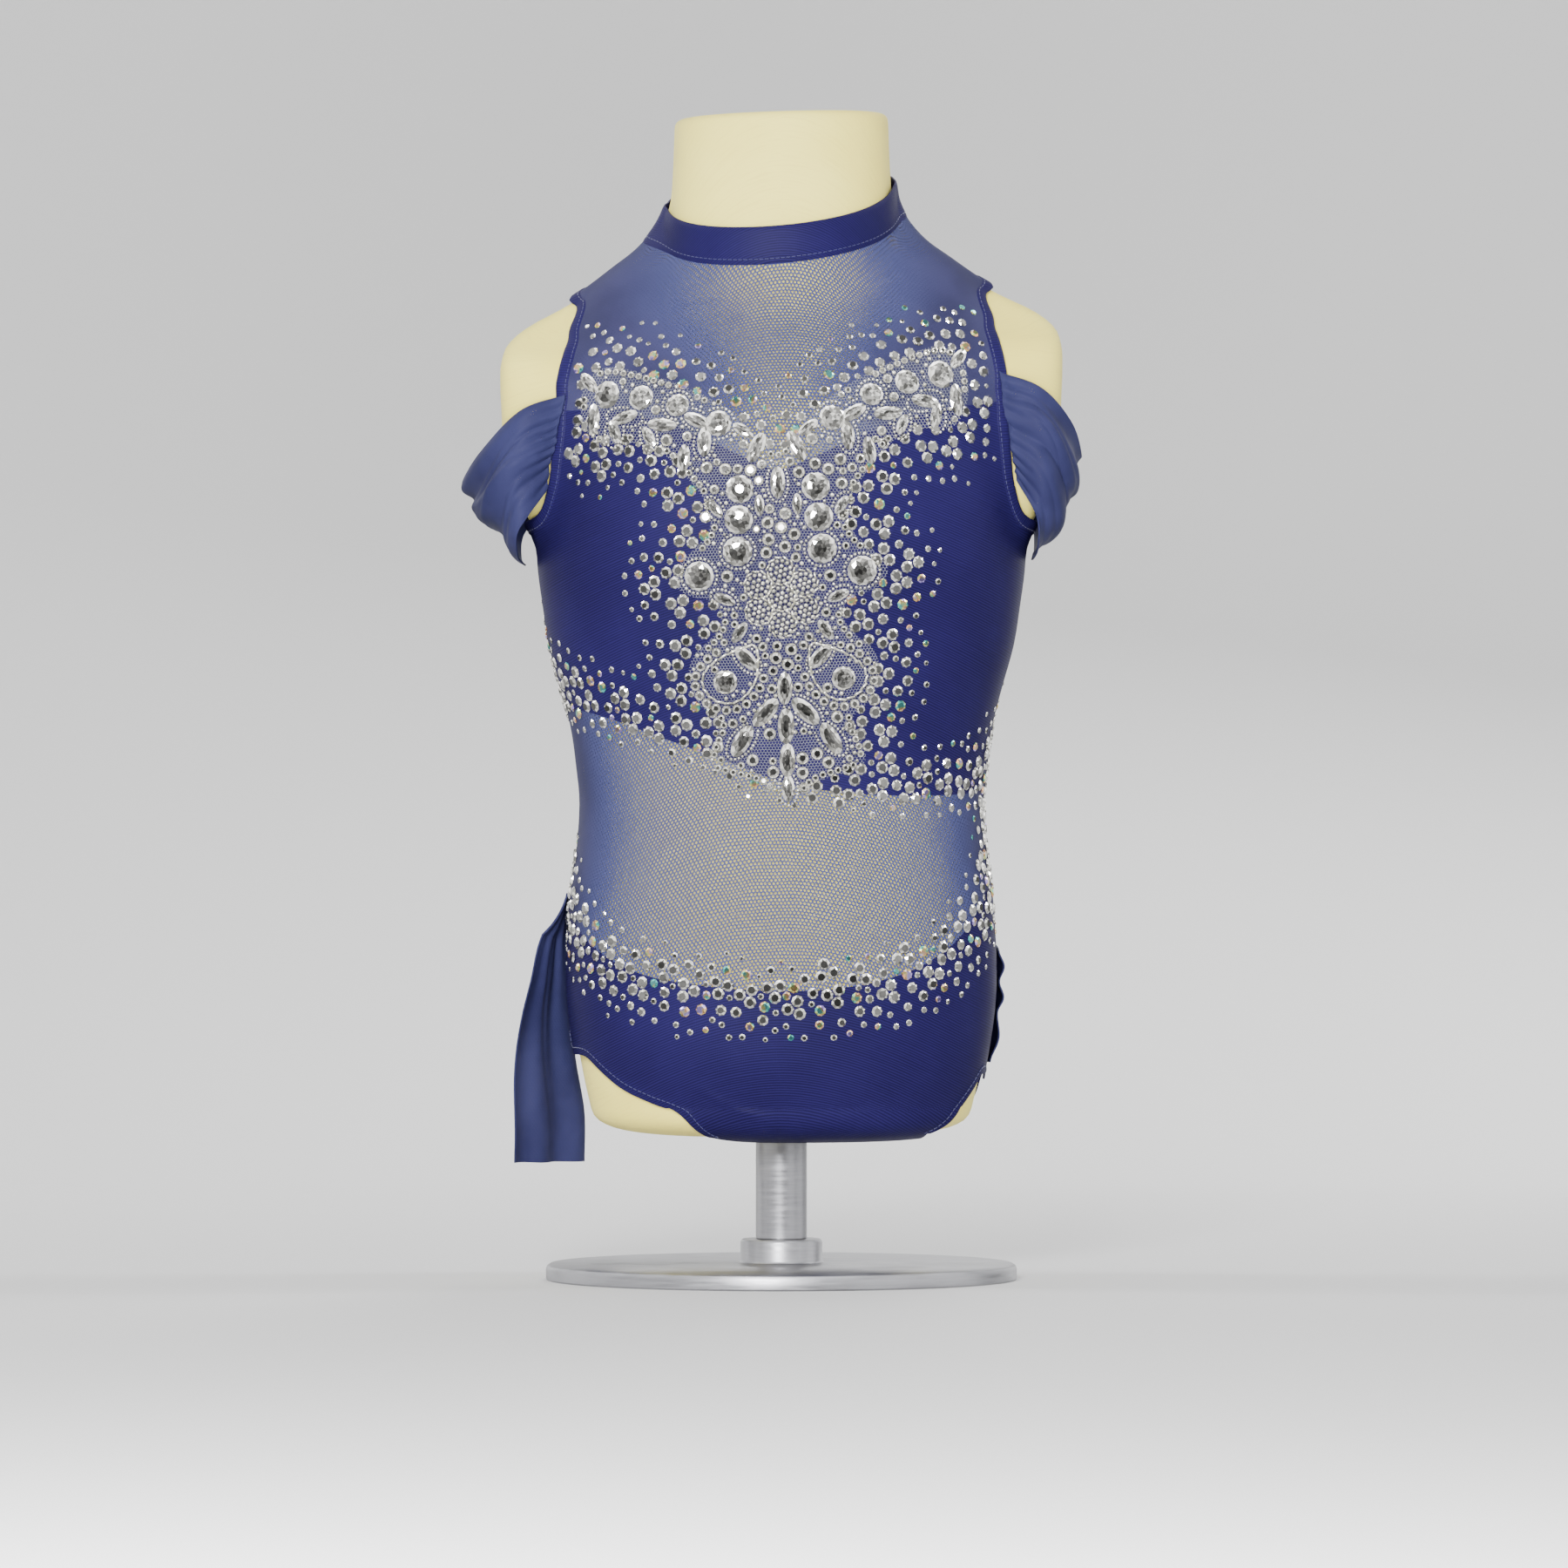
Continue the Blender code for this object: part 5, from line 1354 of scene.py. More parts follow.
def scatter_tree():
    """Sets a copy of a part on every point, by the point's facing, spin and size."""
    tree, given, part = start_tree("set_on_points", (("Size", 1.0),))
    upright = add(tree, "FunctionNodeAlignRotationToVector",
                  {"Vector": field_node(tree, "facing", "FLOAT_VECTOR")}, axis="Z")
    spin = add(tree, "FunctionNodeAxisAngleToRotation",
               {"Axis": (0, 0, 1), "Angle": field_node(tree, "spin", "FLOAT")})
    turned_round = add(tree, "FunctionNodeRotateRotation", {0: upright.outputs[0], 1: spin.outputs[0]},
                       rotation_space="LOCAL")
    scale = add(tree, "ShaderNodeVectorMath", {0: field_node(tree, "size", "FLOAT_VECTOR"),
                                               "Scale": given["Size"]}, operation="SCALE")
    return finish_tree(tree, given, given["Geometry"], part, turned_round.outputs[0], scale.outputs[0])


def stitching_tree():
    """Runs stitches along lines at a pitch, laid on the cloth by each line's facing."""
    tree, given, part = start_tree("stitch_along_lines", (
        ("Pitch", 2.6), ("Stitch Length", 1.9), ("Thread Width", 0.42)))
    line = add(tree, "GeometryNodeMeshToCurve", {"Mesh": given["Geometry"]})
    even = add(tree, "GeometryNodeResampleCurve", {"Curve": line.outputs[0], "Length": given["Pitch"]},
               mode="LENGTH")
    along = add(tree, "FunctionNodeAlignRotationToVector",
                {"Vector": add(tree, "GeometryNodeInputTangent").outputs[0]}, axis="X")
    laid = add(tree, "FunctionNodeAlignRotationToVector", {
        "Rotation": along.outputs[0], "Vector": field_node(tree, "facing", "FLOAT_VECTOR")},
        axis="Z", pivot_axis="X")
    half = sums(tree, "MULTIPLY", given["Stitch Length"], 0.5)
    thin = sums(tree, "MULTIPLY", given["Thread Width"], 0.5)
    scale = add(tree, "ShaderNodeCombineXYZ", {0: half, 1: thin, 2: thin})
    return finish_tree(tree, given, even.outputs[0], part, laid.outputs[0], scale.outputs[0])


SET_ON_POINTS = scatter_tree()
STITCH_ALONG = stitching_tree()


def socket_id(tree, name):
    """The identifier of a tree's named input."""
    return next(s.identifier for s in tree.interface.items_tree
                if s.item_type == "SOCKET" and s.in_out == "INPUT" and s.name == name)


def grown(name, seed, tree, inputs):
    """The plain mesh that a tree makes on a seed mesh."""
    holder = put_in_scene(name + "_seed", seed)
    modifier = holder.modifiers.new("grow", "NODES")
    modifier.node_group = tree
    for label, value in inputs.items():
        modifier[socket_id(tree, label)] = value
    bpy.context.view_layer.update()
    shown = holder.evaluated_get(bpy.context.evaluated_depsgraph_get())
    mesh = bpy.data.meshes.new_from_object(shown)
    mesh.name = name
    holder.modifiers.remove(modifier)
    bpy.data.objects.remove(holder, do_unlink=True)
    return put_in_scene(name, mesh)


def set_parts(name, kind, material, spots):
    """Copies of one part on spots: their points, facings, spins and sizes."""
    points, facings, spins, sizes = (np.asarray(column, np.float32) for column in spots)
    if sizes.ndim == 1:
        sizes = np.repeat(sizes[:, None], 3, axis=1)
    seed = bpy.data.meshes.new(name + "_points")
    seed.from_pydata(place(points.astype(float)).tolist(), [], [])
    set_attribute(seed, "facing", facings, "FLOAT_VECTOR")
    set_attribute(seed, "size", sizes, "FLOAT_VECTOR")
    set_attribute(seed, "spin", spins)
    inputs = {"Part": STONES[kind], "Finish": MATERIALS[material], "Size": MM}
    item = grown(name, seed, SET_ON_POINTS, inputs)
    if kind in ("bead", "bugle"):
        item.data.shade_smooth()
    return item


def sew(name, lines):
    """Stitches along lines of (points, facings)."""
    points, facings, edges = [], [], []
    for run, faces in lines:
        start = len(points)
        points += place(run).tolist()
        facings += faces.tolist()
        edges += [(start + i, start + i + 1) for i in range(len(run) - 1)]
    seed = bpy.data.meshes.new(name + "_lines")
    seed.from_pydata(points, edges, [])
    set_attribute(seed, "facing", facings, "FLOAT_VECTOR")
    inputs = {"Part": STONES["stitch"], "Finish": MATERIALS["thread"]}
    item = grown(name, seed, STITCH_ALONG, inputs)
    item.data.shade_smooth()
    return item


# The crystals glued on the cloth


def guide_height(runs):
    """Height of a seam over each direction, for chart places."""
    line = chain(*runs)
    order = np.argsort(line[:, 0])
    turns, heights = line[order, 0], line[order, 1]
    return lambda t: np.interp(t, turns, heights)


def turned(pairs):
    """Applique places tilted with the garment."""
    pairs = np.asarray(pairs, float)
    cx, ch = APPLIQUE_CENTRE
    c, s = math.cos(APPLIQUE_TURN), math.sin(APPLIQUE_TURN)
    dx, dh = pairs[..., 0], pairs[..., 1] - ch
    return np.stack([cx + c * dx - s * dh, ch + s * dx + c * dh], axis=-1)


def softened(loop, rounds=2):
    """A closed outline with its corners cut soft."""
    loop = np.asarray(loop, float)
    for _ in range(rounds):
        ahead = np.roll(loop, -1, axis=0)
        loop = np.stack([0.75 * loop + 0.25 * ahead, 0.25 * loop + 0.75 * ahead], axis=1).reshape(-1, 2)
    return loop


WHOLE_EDGE = softened(list(APPLIQUE_EDGE) + [(-x, h) for x, h in APPLIQUE_EDGE[-2:0:-1]])
TILTED_EDGE = turned(WHOLE_EDGE)


def edge_distance(pairs, loop):
    """Signed distance to a closed outline, negative inside it."""
    pairs = np.asarray(pairs, float)
    nearest = np.full(pairs.shape[:-1], 1e9)
    odd = np.zeros(pairs.shape[:-1], bool)
    x, h = pairs[..., 0], pairs[..., 1]
    for (ax, ah), (bx, bh) in zip(loop, np.roll(loop, -1, axis=0)):
        span = (bx - ax) ** 2 + (bh - ah) ** 2
        u = np.clip(((x - ax) * (bx - ax) + (h - ah) * (bh - ah)) / span, 0, 1)
        nearest = np.minimum(nearest, np.hypot(x - ax - u * (bx - ax), h - ah - u * (bh - ah)))
        if ah != bh:
            odd ^= ((ah > h) != (bh > h)) & (x < ax + (bx - ax) * (h - ah) / (bh - ah))
    return np.where(odd, -nearest, nearest)


class Crowd:
    """Round spots on the skin that keep their distance from each other."""

    def __init__(self, cell=8.0):
        self.cell = cell
        self.cells = {}

    def key(self, point):
        return tuple(int(math.floor(c / self.cell)) for c in point)

    def fits(self, point, radius, gap):
        kx, ky, kz = self.key(point)
        for ix in (kx - 1, kx, kx + 1):
            for iy in (ky - 1, ky, ky + 1):
                for iz in (kz - 1, kz, kz + 1):
                    for other, reach in self.cells.get((ix, iy, iz), ()):
                        if math.dist(point, other) < radius + reach + gap:
                            return False
        return True

    def add(self, point, radius):
        self.cells.setdefault(self.key(point), []).append((tuple(point), radius))


NECK_AT = guide_height([SEAMS["neckline"]])
HEM_AT = guide_height([SEAMS["hem"], SEAMS["riser_top"]])
BRIEF_AT = guide_height([SEAMS["brief_top"], SEAMS["riser"]])


def line_distance(points, line, step=3):
    """Distance from points to the nearest of a line's own points."""
    best = np.full(len(points), 1e9)
    for spot in line[::step]:
        best = np.minimum(best, np.linalg.norm(points - spot, axis=1))
    return best


def stone_wish(chart, points):
    """How much each place wants a stone, and how large stones may be there."""
    t, w = chart[:, 0], chart[:, 1]
    aside = np.abs(t) / 90
    in_edge = edge_distance(points[:, [0, 2]], TILTED_EDGE)
    on_yoke = w > NECK_AT(t)
    above_hem = w - HEM_AT(t)
    hem_far = line_distance(points, skin(chain(SEAMS["hem"], SEAMS["riser_top"])))
    brief_far = line_distance(points, skin(chain(SEAMS["brief_top"], SEAMS["riser"])))
    above_brief = w - BRIEF_AT(t)

    near = np.where(on_yoke, 0.55 * np.exp(-(in_edge / 15) ** 2),
                    0.82 * np.exp(-((in_edge - 1) / 14.5) ** 2))
    near = np.where(~on_yoke & (in_edge > 30), 0, near)
    near *= (above_hem > -2) & (in_edge > 0)
    band = np.exp(-(hem_far / (13 + 15 * aside**2.5)) ** 2)
    below = 0.5 * np.exp(-(hem_far / 7.5) ** 2)
    hem = np.where(above_hem > 0, band, below)
    hem[in_edge < 0] = 0
    upper = np.exp(-(brief_far / (8.5 + 4 * aside)) ** 2)
    lower = np.exp(-(brief_far / 14.5) ** 2)
    brief = np.where(above_brief > 0, upper, lower)
    wish = np.maximum(np.maximum(near, hem), brief)
    for name, side in (("left", -1), ("right", 1)):
        edge = SEAMS[name + "_body_edge"][:2 * ARMHOLE_STEPS * DETAIL + 1]
        order = np.argsort(edge[:, 2])
        limit = np.interp(points[:, 2], edge[order, 2], np.abs(edge[order, 0])) - 3.2
        beyond = (points[:, 0] * side > limit) & (points[:, 2] > edge[:, 2].min() - 2)
        wish = np.where(beyond, 0, wish)
    core = np.maximum(np.where(on_yoke, 0.5 * near, near), np.maximum(np.where(above_hem > 0, band, 0),
                                                                       np.exp(-(brief_far / 11) ** 2)))
    return wish, np.where(wish > 0, core, 0)


def build_stones():
    """Single stones, trios and coloured ones, thick in the bands and thinning outwards."""
    source = np.random.default_rng(17)
    chart = np.stack([source.uniform(-97, 97, STONE_TRIES), source.uniform(30, 400, STONE_TRIES)], axis=-1)
    points = skin(chart)
    wish, core = stone_wish(chart, points)
    wanted = wish > 0.03
    points, wish, core = points[wanted], wish[wanted], core[wanted]
    away = normal(points)
    luck = source.uniform(0, 1, len(points))
    tints = source.uniform(0, 1, len(points))
    crowd = Crowd()
    found = []

    trios = 0
    for i in np.nonzero((core > 0.45) & (luck < 0.6))[0]:
        if trios >= TRIO_MOST or core[i] < 0.95 * luck[i] + 0.3:
            continue
        if not crowd.fits(points[i], 2.1 * TRIO_RADIUS, 0.6):
            continue
        across = np.cross(away[i], (0.0, 0.0, 1.0))
        across /= np.linalg.norm(across)
        up = np.cross(across, away[i])
        first = source.uniform(0, math.tau)
        for k in range(3):
            a = first + k * math.tau / 3
            spot = points[i] + 1.166 * TRIO_RADIUS * (across * math.cos(a) + up * math.sin(a))
            crowd.add(spot, TRIO_RADIUS)
            found.append((*spot, TRIO_RADIUS, 0))
        trios += 1
    for radius, least, most, gap, share, coated in SINGLES:
        chances = source.uniform(0, 1, len(points))
        used = 0
        for i in np.nonzero((wish > least) & (wish > 0.9 * chances) & (chances < share))[0]:
            if used >= most:
                break
            if not crowd.fits(points[i], radius, gap + 2.2 * (1 - wish[i])):
                continue
            crowd.add(points[i], radius)
            found.append((*points[i], radius, 1 if tints[i] < coated else 0))
            used += 1
    found = np.array(found)
    bases = settle(found[:, :3])
    away = normal(bases)
    bases = bases + away * (STRETCH_INSIDE + STRETCH_THICK - 0.05)
    tilts = away + source.uniform(-0.06, 0.06, away.shape)
    spins = source.uniform(0, math.tau, len(found))
    groups = {}
    for label, flag in (("clear", 0), ("coloured", 1)):
        rows = found[:, 4] == flag
        groups[label] = (bases[rows], tilts[rows], spins[rows], found[rows, 3])
    return groups


# The applique


class Layout:
    """The applique's parts, laid out flat and then set on the cloth together."""

    def __init__(self):
        self.crowd = Crowd()
        self.rows = {}

    def put(self, kind, x, h, size, lift=0.0, spin=0.0, keep=None, room=0.25, must=False):
        reach = size if keep is None else keep
        if not must and not self.crowd.fits((x, h, 0.0), reach, room):
            return False
        self.crowd.add((x, h, 0.0), reach)
        wide, deep, high = size if hasattr(size, "__len__") else (size,) * 3
        self.rows.setdefault(kind, []).append((x, h, lift, spin, wide, deep, high))
        return True

    def set_stone(self, x, h, radius, must=False, room=0.25):
        """A small stone in its silver cup."""
        if not self.put("cup", x, h, radius, must=must, room=room):
            return False
        size = 0.84 * radius
        spin = rng.uniform(0, 3)
        self.rows.setdefault("chaton", []).append((x, h, 0.32 * radius, spin, size, size, size))
        return True

    def line_up(self, kind, places, radius, closed=False, room=0.05):
        """Stones or beads side by side along a line of places."""
        run = np.asarray(list(places) + ([places[0]] if closed else []), float)
        length = run_length(run)
        count = max(1, int(length[-1] / (2 * radius + 0.25)))
        for k in range(count + (0 if closed else 1)):
            s = length[-1] * k / count
            x, h = (float(np.interp(s, length, run[:, axis])) for axis in (0, 1))
            if kind == "cup":
                self.set_stone(x, h, radius, room=room)
            else:
                self.put(kind, x, h, radius, room=room)

    def settled(self, kind):
        """Points, facings, spins and sizes on the cloth."""
        rows = np.array(self.rows[kind], float)
        points = facing(turned(rows[:, :2]), -1)
        away = normal(points)
        source = np.random.default_rng(len(rows))
        tilts = away + source.uniform(-0.05, 0.05, away.shape)
        spots = points + away * (APPLIQUE_FLOOR + rows[:, 2:3])
        return spots, tilts, rows[:, 3] + APPLIQUE_TURN, rows[:, 4:]


def ring_of(x, h, radius, count=24):
    return [(x + radius * math.cos(math.tau * k / count), h + radius * math.sin(math.tau * k / count))
            for k in range(count)]


def build_applique():
    """Crystals, beads and bugles on clear net, laid out by one rule on both halves."""
    work = Layout()
    for side in (1, -1):
        for x, h, radius in LARGE_ROUNDS:
            work.put("large_round", side * x, h, (radius, radius, radius * 0.85), must=True,
                     spin=rng.uniform(0, 1), keep=radius)
        for x, h, half, direction in MARQUISES:
            if x == 0 and side < 0:
                continue
            spin = math.radians(direction if side > 0 else 180 - direction)
            half *= MARQUISE_GROWTH
            work.put("marquise", side * x, h, (half, half * MARQUISE_WAIST, half * 0.5), spin=spin,
                     keep=half * 0.42, must=True)
            for k in (-0.6, 0.6):
                dx, dh = math.cos(spin) * half * k, math.sin(spin) * half * k
                work.crowd.add((side * x + dx, h + dh, 0.0), half * 0.36)
    for x, h, _, spin, half, _, _ in work.rows["marquise"][::2]:
        outline = []
        for k in range(28):
            a = math.tau * k / 28
            u, v = (half + 1.5) * math.cos(a), (MARQUISE_WAIST * half + 1.5) * math.sin(a)
            outline.append((x + u * math.cos(spin) - v * math.sin(spin),
                            h + u * math.sin(spin) + v * math.cos(spin)))
        work.line_up("bead", outline, 0.8, closed=True, room=0.02)

    cx, ch = FLOWER
    hearts = [(cx, ch, 1.3)]
    for k in range(FLOWER_PETALS):
        a = k * math.tau / FLOWER_PETALS
        hearts.append((cx + FLOWER_REACH * math.sin(a), ch + FLOWER_REACH * math.cos(a), 0.6))
    for px, ph, lift in hearts:
        work.crowd.add((px, ph, 0.0), FLOWER_PETAL + 1.3)
        for ring, count in ((0, 1), (1, 6), (2, 12)):
            for k in range(count):
                a = math.tau * (k + 0.3 * ring) / count
                reach = ring * FLOWER_PETAL / 2.35
                dome = (lift + 1.1) * (1 - (ring / 2.6) ** 2)
                work.put("bead", px + reach * math.cos(a), ph + reach * math.sin(a), 1.15, lift=0.5 + dome,
                         must=True)
        for k in range(PETAL_BUGLES):
            a = math.tau * k / PETAL_BUGLES
            reach = FLOWER_PETAL + 0.75
            work.put("bugle", px + reach * math.cos(a), ph + reach * math.sin(a), (1.75, 0.6, 0.6),
                     lift=0.45, spin=a + math.pi / 2 - 0.3, keep=0.6, must=True)

    for side in (1, -1):
        loop = np.array([(side * x, h) for x, h in DROP_LOOP])
        run = softened(loop, 1)
        for a, b in zip(run, np.roll(run, -1, axis=0)):
            x, h = (a + b) / 2
            work.put("bugle", x, h, (math.dist(a, b) * 0.52, 0.62, 0.62), lift=0.9, keep=0.9, must=True,
                     spin=math.atan2(b[1] - a[1], b[0] - a[0]))
        middle = loop.mean(axis=0)
        out = (loop - middle) / np.linalg.norm(loop - middle, axis=1, keepdims=True)
        work.line_up("cup", [tuple(p) for p in softened(loop + 3.6 * out, 1)], 2.35, closed=True)
        for x, h, radius in LARGE_ROUNDS[2:6]:
            work.line_up("bead", ring_of(side * x, h, radius + 1.2), 0.85, closed=True, room=0.02)

    ahead = np.roll(WHOLE_EDGE, -1, axis=0) - np.roll(WHOLE_EDGE, 1, axis=0)
    way = np.stack([-ahead[:, 1], ahead[:, 0]], axis=1) / np.linalg.norm(ahead, axis=1, keepdims=True)
    within = WHOLE_EDGE + 2.4 * way
    across = WHOLE_EDGE - 2.4 * way
    keep = (edge_distance(within, WHOLE_EDGE) < 0)[:, None]
    work.line_up("cup", [tuple(p) for p in np.where(keep, within, across)], 1.75, closed=True, room=0.15)

    source = np.random.default_rng(23)
    places = source.uniform(WHOLE_EDGE.min(axis=0), WHOLE_EDGE.max(axis=0), (FILL_TRIES, 2))
    depth = edge_distance(places, WHOLE_EDGE)
    bare = np.zeros(len(places), bool)
    for x, h, radius in BARE_NET:
        bare |= np.hypot(np.abs(places[:, 0]) - x, places[:, 1] - h) < radius
    inside = np.nonzero((depth < -1.4) & ~bare)[0]
    for radius, most in CUP_FILL:
        used = 0
        for i in inside:
            if used >= most:
                break
            if depth[i] < -radius + 0.4 and work.set_stone(places[i, 0], places[i, 1], radius, room=0.1):
                used += 1
    for radius, most in BEAD_FILL:
        used = 0
        for i in inside[::-1]:
            if used >= most:
                break
            used += work.put("bead", places[i, 0], places[i, 1], radius, room=0.05)
    return work


def build_backing():
    """The clear net that the applique is worked on, cut to its outline."""
    low, high = WHOLE_EDGE.min(axis=0), WHOLE_EDGE.max(axis=0)
    places = [tuple(p) for p in WHOLE_EDGE]
    loop = list(range(len(places)))
    columns = np.arange(low[0], high[0], BACKING_SPACING)
    for row, h in enumerate(np.arange(low[1], high[1], BACKING_SPACING)):
        line = np.stack([columns + 0.5 * BACKING_SPACING * (row % 2), 0 * columns + h], axis=-1)
        deep = edge_distance(line, WHOLE_EDGE) < -1.2
        places += [tuple(p) for p in line[deep]]
    faces = delaunay_2d_cdt([Vector(p) for p in places], [], [loop], 1, 1e-5)[2]
    flat = np.array(places)
    base = facing(turned(flat), -1)
    away = normal(base)
    inner = base + away * (STRETCH_INSIDE + STRETCH_THICK + BACKING_LIFT)
    outer = inner + away * BACKING_THICK
    count = len(flat)
    border = {}
    for face in faces:
        for a, b in zip(face, face[1:] + face[:1]):
            if (b, a) in border:
                del border[(b, a)]
            else:
                border[(a, b)] = True
    solid = [tuple(i + count for i in f) for f in faces] + [tuple(reversed(f)) for f in faces]
    solid += [(a, b, b + count, a + count) for a, b in border]
    mesh = bpy.data.meshes.new("applique_net")
    mesh.from_pydata(place(np.concatenate([inner, outer])).tolist(), [], solid)
    set_thread_map(mesh, flat[[i % count for f in solid for i in f]])
    return new_object("applique_net", mesh, "white_net")


def flat_area(item):
    """A sheet's flat area in square metres, from one face of its shell."""
    work = bmesh.new()
    work.from_mesh(item.data)
    area = sum(f.calc_area() for f in work.faces) / 2
    work.free()
    return area


# The build

body = build_body()
collar = build_collar()
bindings = {side: build_binding("armhole_tape_" + side, side) for side in ("left", "right")}
sleeves = {"left": build_sleeve("sleeve_drape_left", SLEEVE_LEFT, -1),
           "right": build_sleeve("sleeve_drape_right", SLEEVE_RIGHT, 1)}
tail = build_tail()
drape = build_drape()
form = build_form()
foot = turned_piece("round_foot", FOOT_PROFILE)
tube = turned_piece("upright_tube", TUBE_PROFILE)

applique = build_applique()
crystal_parts = [
    set_parts("applique_rounds", "large_round", "crystal", applique.settled("large_round")),
    set_parts("applique_marquises", "marquise", "crystal", applique.settled("marquise")),
    set_parts("applique_chatons", "chaton", "crystal", applique.settled("chaton")),
]
bead_parts = [
    set_parts("applique_cups", "cup", "silver", applique.settled("cup")),
    set_parts("applique_beads", "bead", "silver", applique.settled("bead")),
    set_parts("applique_bugles", "bugle", "silver", applique.settled("bugle")),
]
backing = build_backing()
stones = build_stones()
clear_stones = set_parts("glued_crystals", "chaton", "crystal", stones["clear"])
coloured_stones = set_parts("glued_rainbow_crystals", "chaton", "rainbow", stones["coloured"])


def cloth_line(chart, lift):
    """A stitching line on the cloth, over chart places."""
    base_points = skin(chart)
    away = normal(base_points)
    return base_points + away * lift, away


def build_sewing():
    """Rows of stitches along the collar's foot, the armhole tapes and the leg openings."""
    lines = {}
    turns = np.linspace(-180, 180, 361)
    low = np.stack([turns, collar_height(turns) + 2.6], axis=-1)
    lines["collar_stitches"] = [cloth_line(low, STRETCH_INSIDE + COLLAR_THICK - 0.2)]
    for side in ("left", "right"):
        arm_edge, body_edge = SEAMS[side + "_arm_edge"], SEAMS[side + "_body_edge"]
        run = settle(arm_edge * 0.2 + body_edge * 0.8)
        run = np.concatenate([run, run[:1]])
        away = normal(run)
        lines["armhole_stitches_" + side] = [(run + away * (STRETCH_INSIDE + BINDING_THICK - 0.28), away)]
    legs = []
    for first, second in (("left_leg_back", "left_leg_front"), ("right_leg_front", "right_leg_back")):
        run = np.concatenate([skin(SEAMS[first]), skin(SEAMS[second])[1:]])
        way = np.cross(normal(run), np.gradient(run, axis=0))
        way /= np.linalg.norm(way, axis=1, keepdims=True)
        toward = np.sign(np.sum(way * (LEG_LINES_FACE - run), axis=1, keepdims=True))
        run = settle(run + way * toward * LEG_STITCH_INSET)
        away = normal(run)
        legs.append((run + away * (STRETCH_INSIDE + STRETCH_THICK + HEM_EXTRA), away))
    lines["leg_stitches"] = legs
    return {name: sew(name, runs) for name, runs in lines.items()}


sewing = build_sewing()

# What stands for what

cloth = dict(body)
cloth["collar"] = collar
cloth.update({"armhole_binding_" + side: tape for side, tape in bindings.items()})
cloth.update({"sleeve_" + side: sleeve for side, sleeve in sleeves.items()})
cloth["back_drape"] = drape
cloth["side_tail"] = tail


for node, item in cloth.items():
    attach(item, BODY)
    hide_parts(node)
for name, item in sewing.items():
    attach(item, BODY)
for node, item in cloth.items():
    area = flat_area(item)

for item, node, slot in ((form, "form_body", "form_cloth"), (foot, "stand_base", "stand_metal"),
                         (tube, "stand_pole", "stand_metal"), (backing, "crystal_applique", "crystal")):
    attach(item, BODY)
    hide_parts(node)
for item in crystal_parts + bead_parts + [clear_stones, coloured_stones]:
    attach(item, BODY)
area = flat_area(backing)


# Floor, backdrop, light and camera


def flat_sheet(name, rows, grey):
    """A plain sheet for the studio, from rows of points."""
    wide = len(rows[0])
    points = [p for row in rows for p in row]
    faces = [(r * wide + c, r * wide + c + 1, (r + 1) * wide + c + 1, (r + 1) * wide + c)
             for r in range(len(rows) - 1) for c in range(wide - 1)]
    mesh = bpy.data.meshes.new(name)
    mesh.from_pydata(points, [], faces)
    material = bpy.data.materials.new(name)
    material.use_nodes = True
    shader = material.node_tree.nodes["Principled BSDF"]
    shader.inputs["Base Color"].default_value = (grey, grey, grey, 1)
    shader.inputs["Roughness"].default_value = 0.8
    mesh.materials.append(material)
    mesh.shade_smooth()
    return put_in_scene(name, mesh)


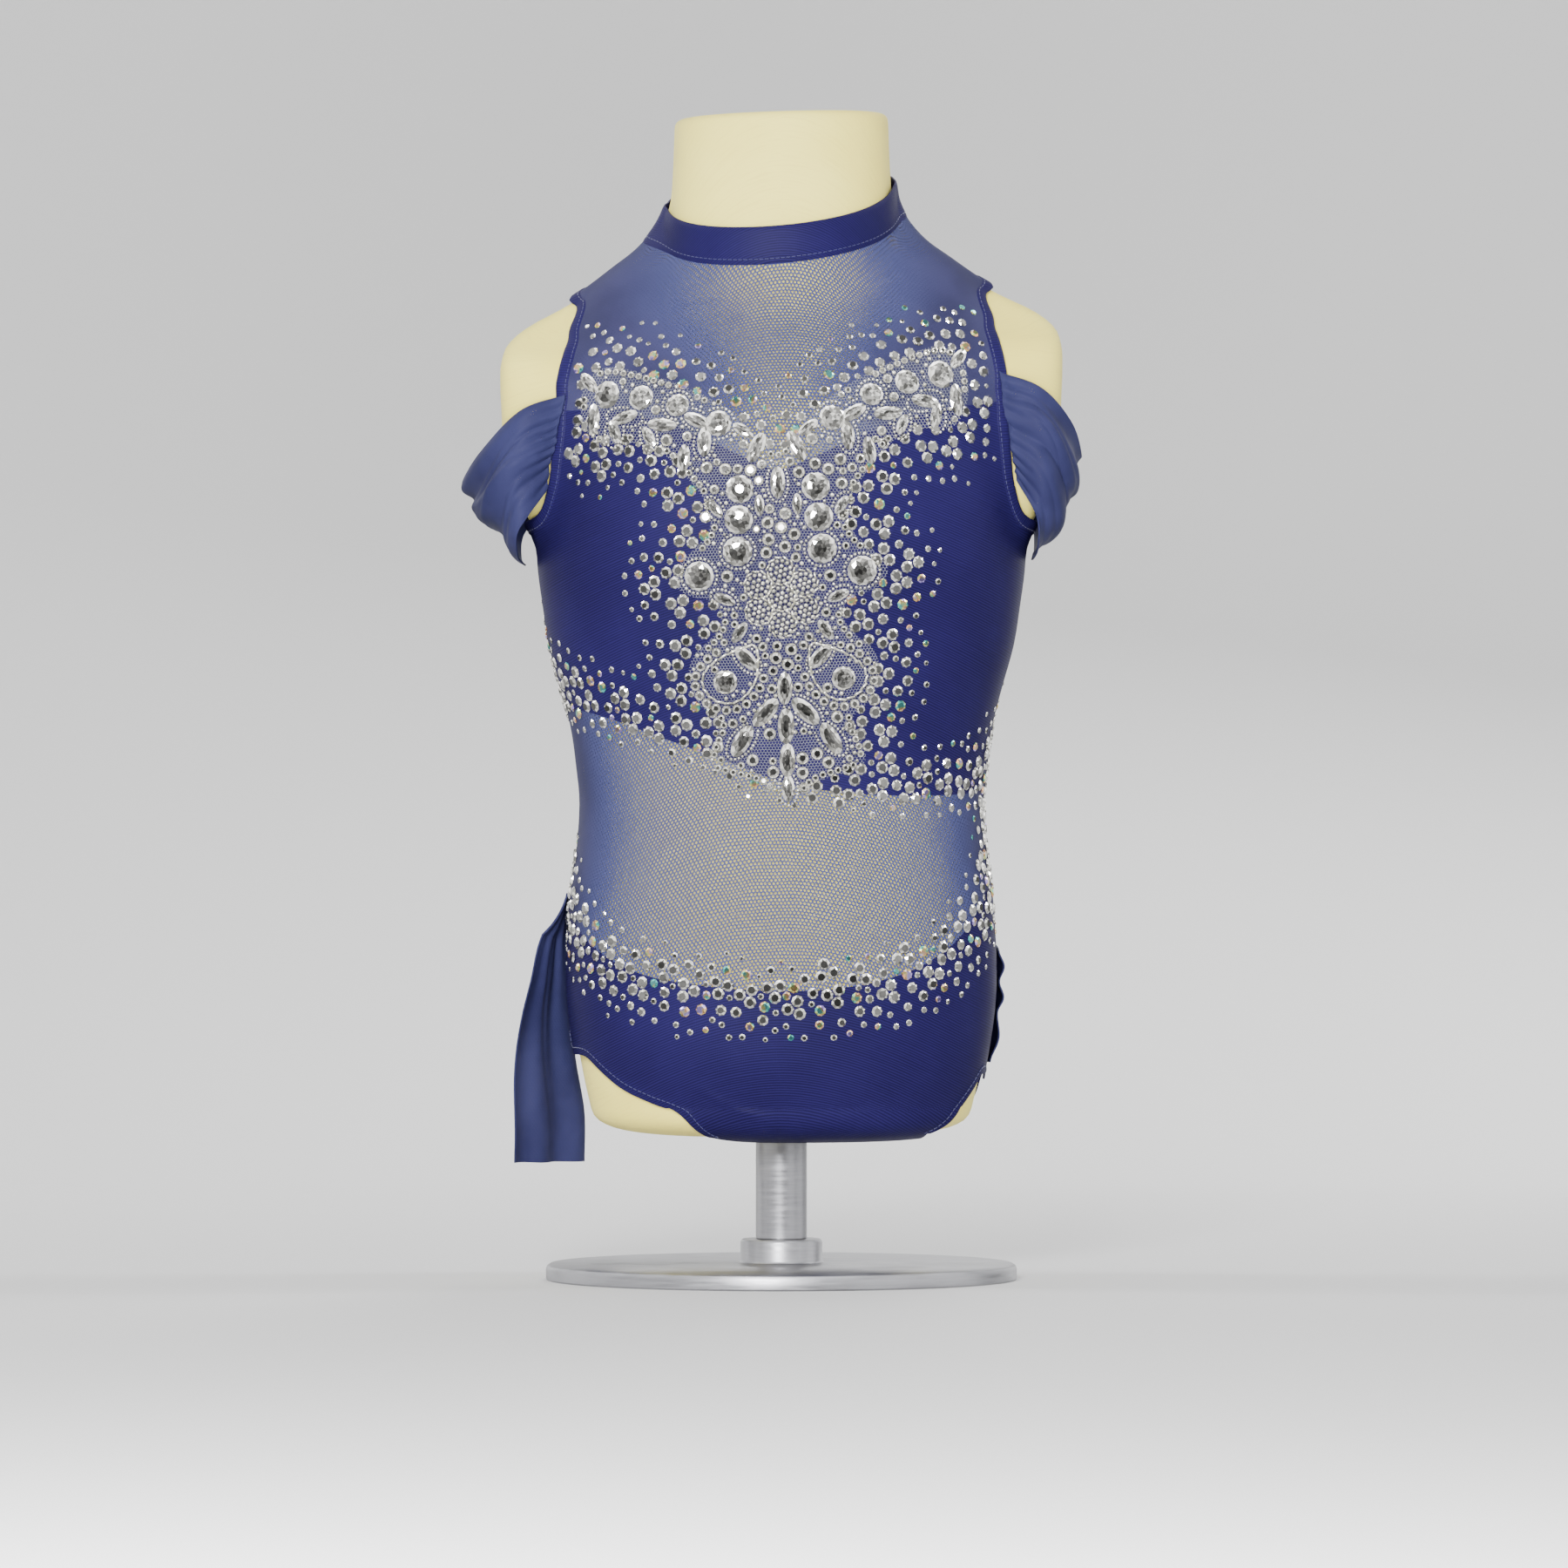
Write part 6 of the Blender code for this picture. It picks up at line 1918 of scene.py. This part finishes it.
def build_studio():
    """A paper sweep between grey flats, soft lights, a front-lit world and the photo's camera."""
    sweep = [(-6.0, 0.0), (1.2, 0.0)]
    sweep += [(1.2 + 2.4 * math.sin(a), 2.4 - 2.4 * math.cos(a))
              for a in np.linspace(0.05, math.pi / 2, 24)]
    sweep.append((3.6, 6.0))
    paper = flat_sheet("studio_sweep", [[(x, y, z) for x in (-6, 6)] for y, z in sweep], PAPER_GREY)
    flats = [flat_sheet(name, rows, FLAT_GREY) for name, rows in (
        ("flat_left", [[(-6, -6, 0), (-6, 4, 0)], [(-6, -6, 6), (-6, 4, 6)]]),
        ("flat_right", [[(6, -6, 0), (6, 4, 0)], [(6, -6, 6), (6, 4, 6)]]),
        ("flat_front", [[(-6, -6, 0), (6, -6, 0)], [(-6, -6, 6), (6, -6, 6)]]),
        ("flat_top", [[(-6, -6, 6), (6, -6, 6)], [(-6, 4, 6), (6, 4, 6)]]))]
    for item in [paper] + flats:
        item.visible_glossy = False

    for name, where, aim, size, power, shines in LIGHTS:
        light = bpy.data.lights.new(name, "AREA")
        light.size = size
        light.energy = power
        item = put_in_scene(name, light)
        item.location = where
        item.visible_glossy = shines
        way = Vector(aim) - Vector(where)
        item.rotation_euler = way.to_track_quat("-Z", "Y").to_euler()

    world = bpy.data.worlds.new("studio")
    world.use_nodes = True
    tree = world.node_tree
    where = add(tree, "ShaderNodeTexCoord").outputs["Generated"]
    parts = add(tree, "ShaderNodeSeparateXYZ", {0: where})
    ahead = sums(tree, "MULTIPLY", parts.outputs[1], -1.0)
    cone = steps(tree, ahead, 0.86, 0.97, 1.0, 0.2)
    height = steps(tree, parts.outputs[2], -0.4, 0.5, 0.7, 1.9)
    patches = steps(tree, noise(tree, where, 3.4, 2.0), 0.4, 0.56, 0.2, 1.5)
    shade = sums(tree, "MULTIPLY", sums(tree, "MULTIPLY", cone, height), patches)
    background = tree.nodes["Background"]
    tree.links.new(shade, background.inputs["Strength"])
    background.inputs["Color"].default_value = (1, 1, 1, 1)
    bpy.context.scene.world = world

    camera_data = bpy.data.cameras.new("front_view")
    camera_data.sensor_width = SENSOR
    camera_data.lens = SENSOR * CAMERA_DISTANCE / FRAME_WIDTH
    camera = put_in_scene("front_view", camera_data)
    camera.location = (FRAME_CENTRE[0] * MM, -CAMERA_DISTANCE * MM, FRAME_CENTRE[1] * MM)
    camera.rotation_euler = (math.pi / 2, 0, 0)
    bpy.context.scene.camera = camera


build_studio()
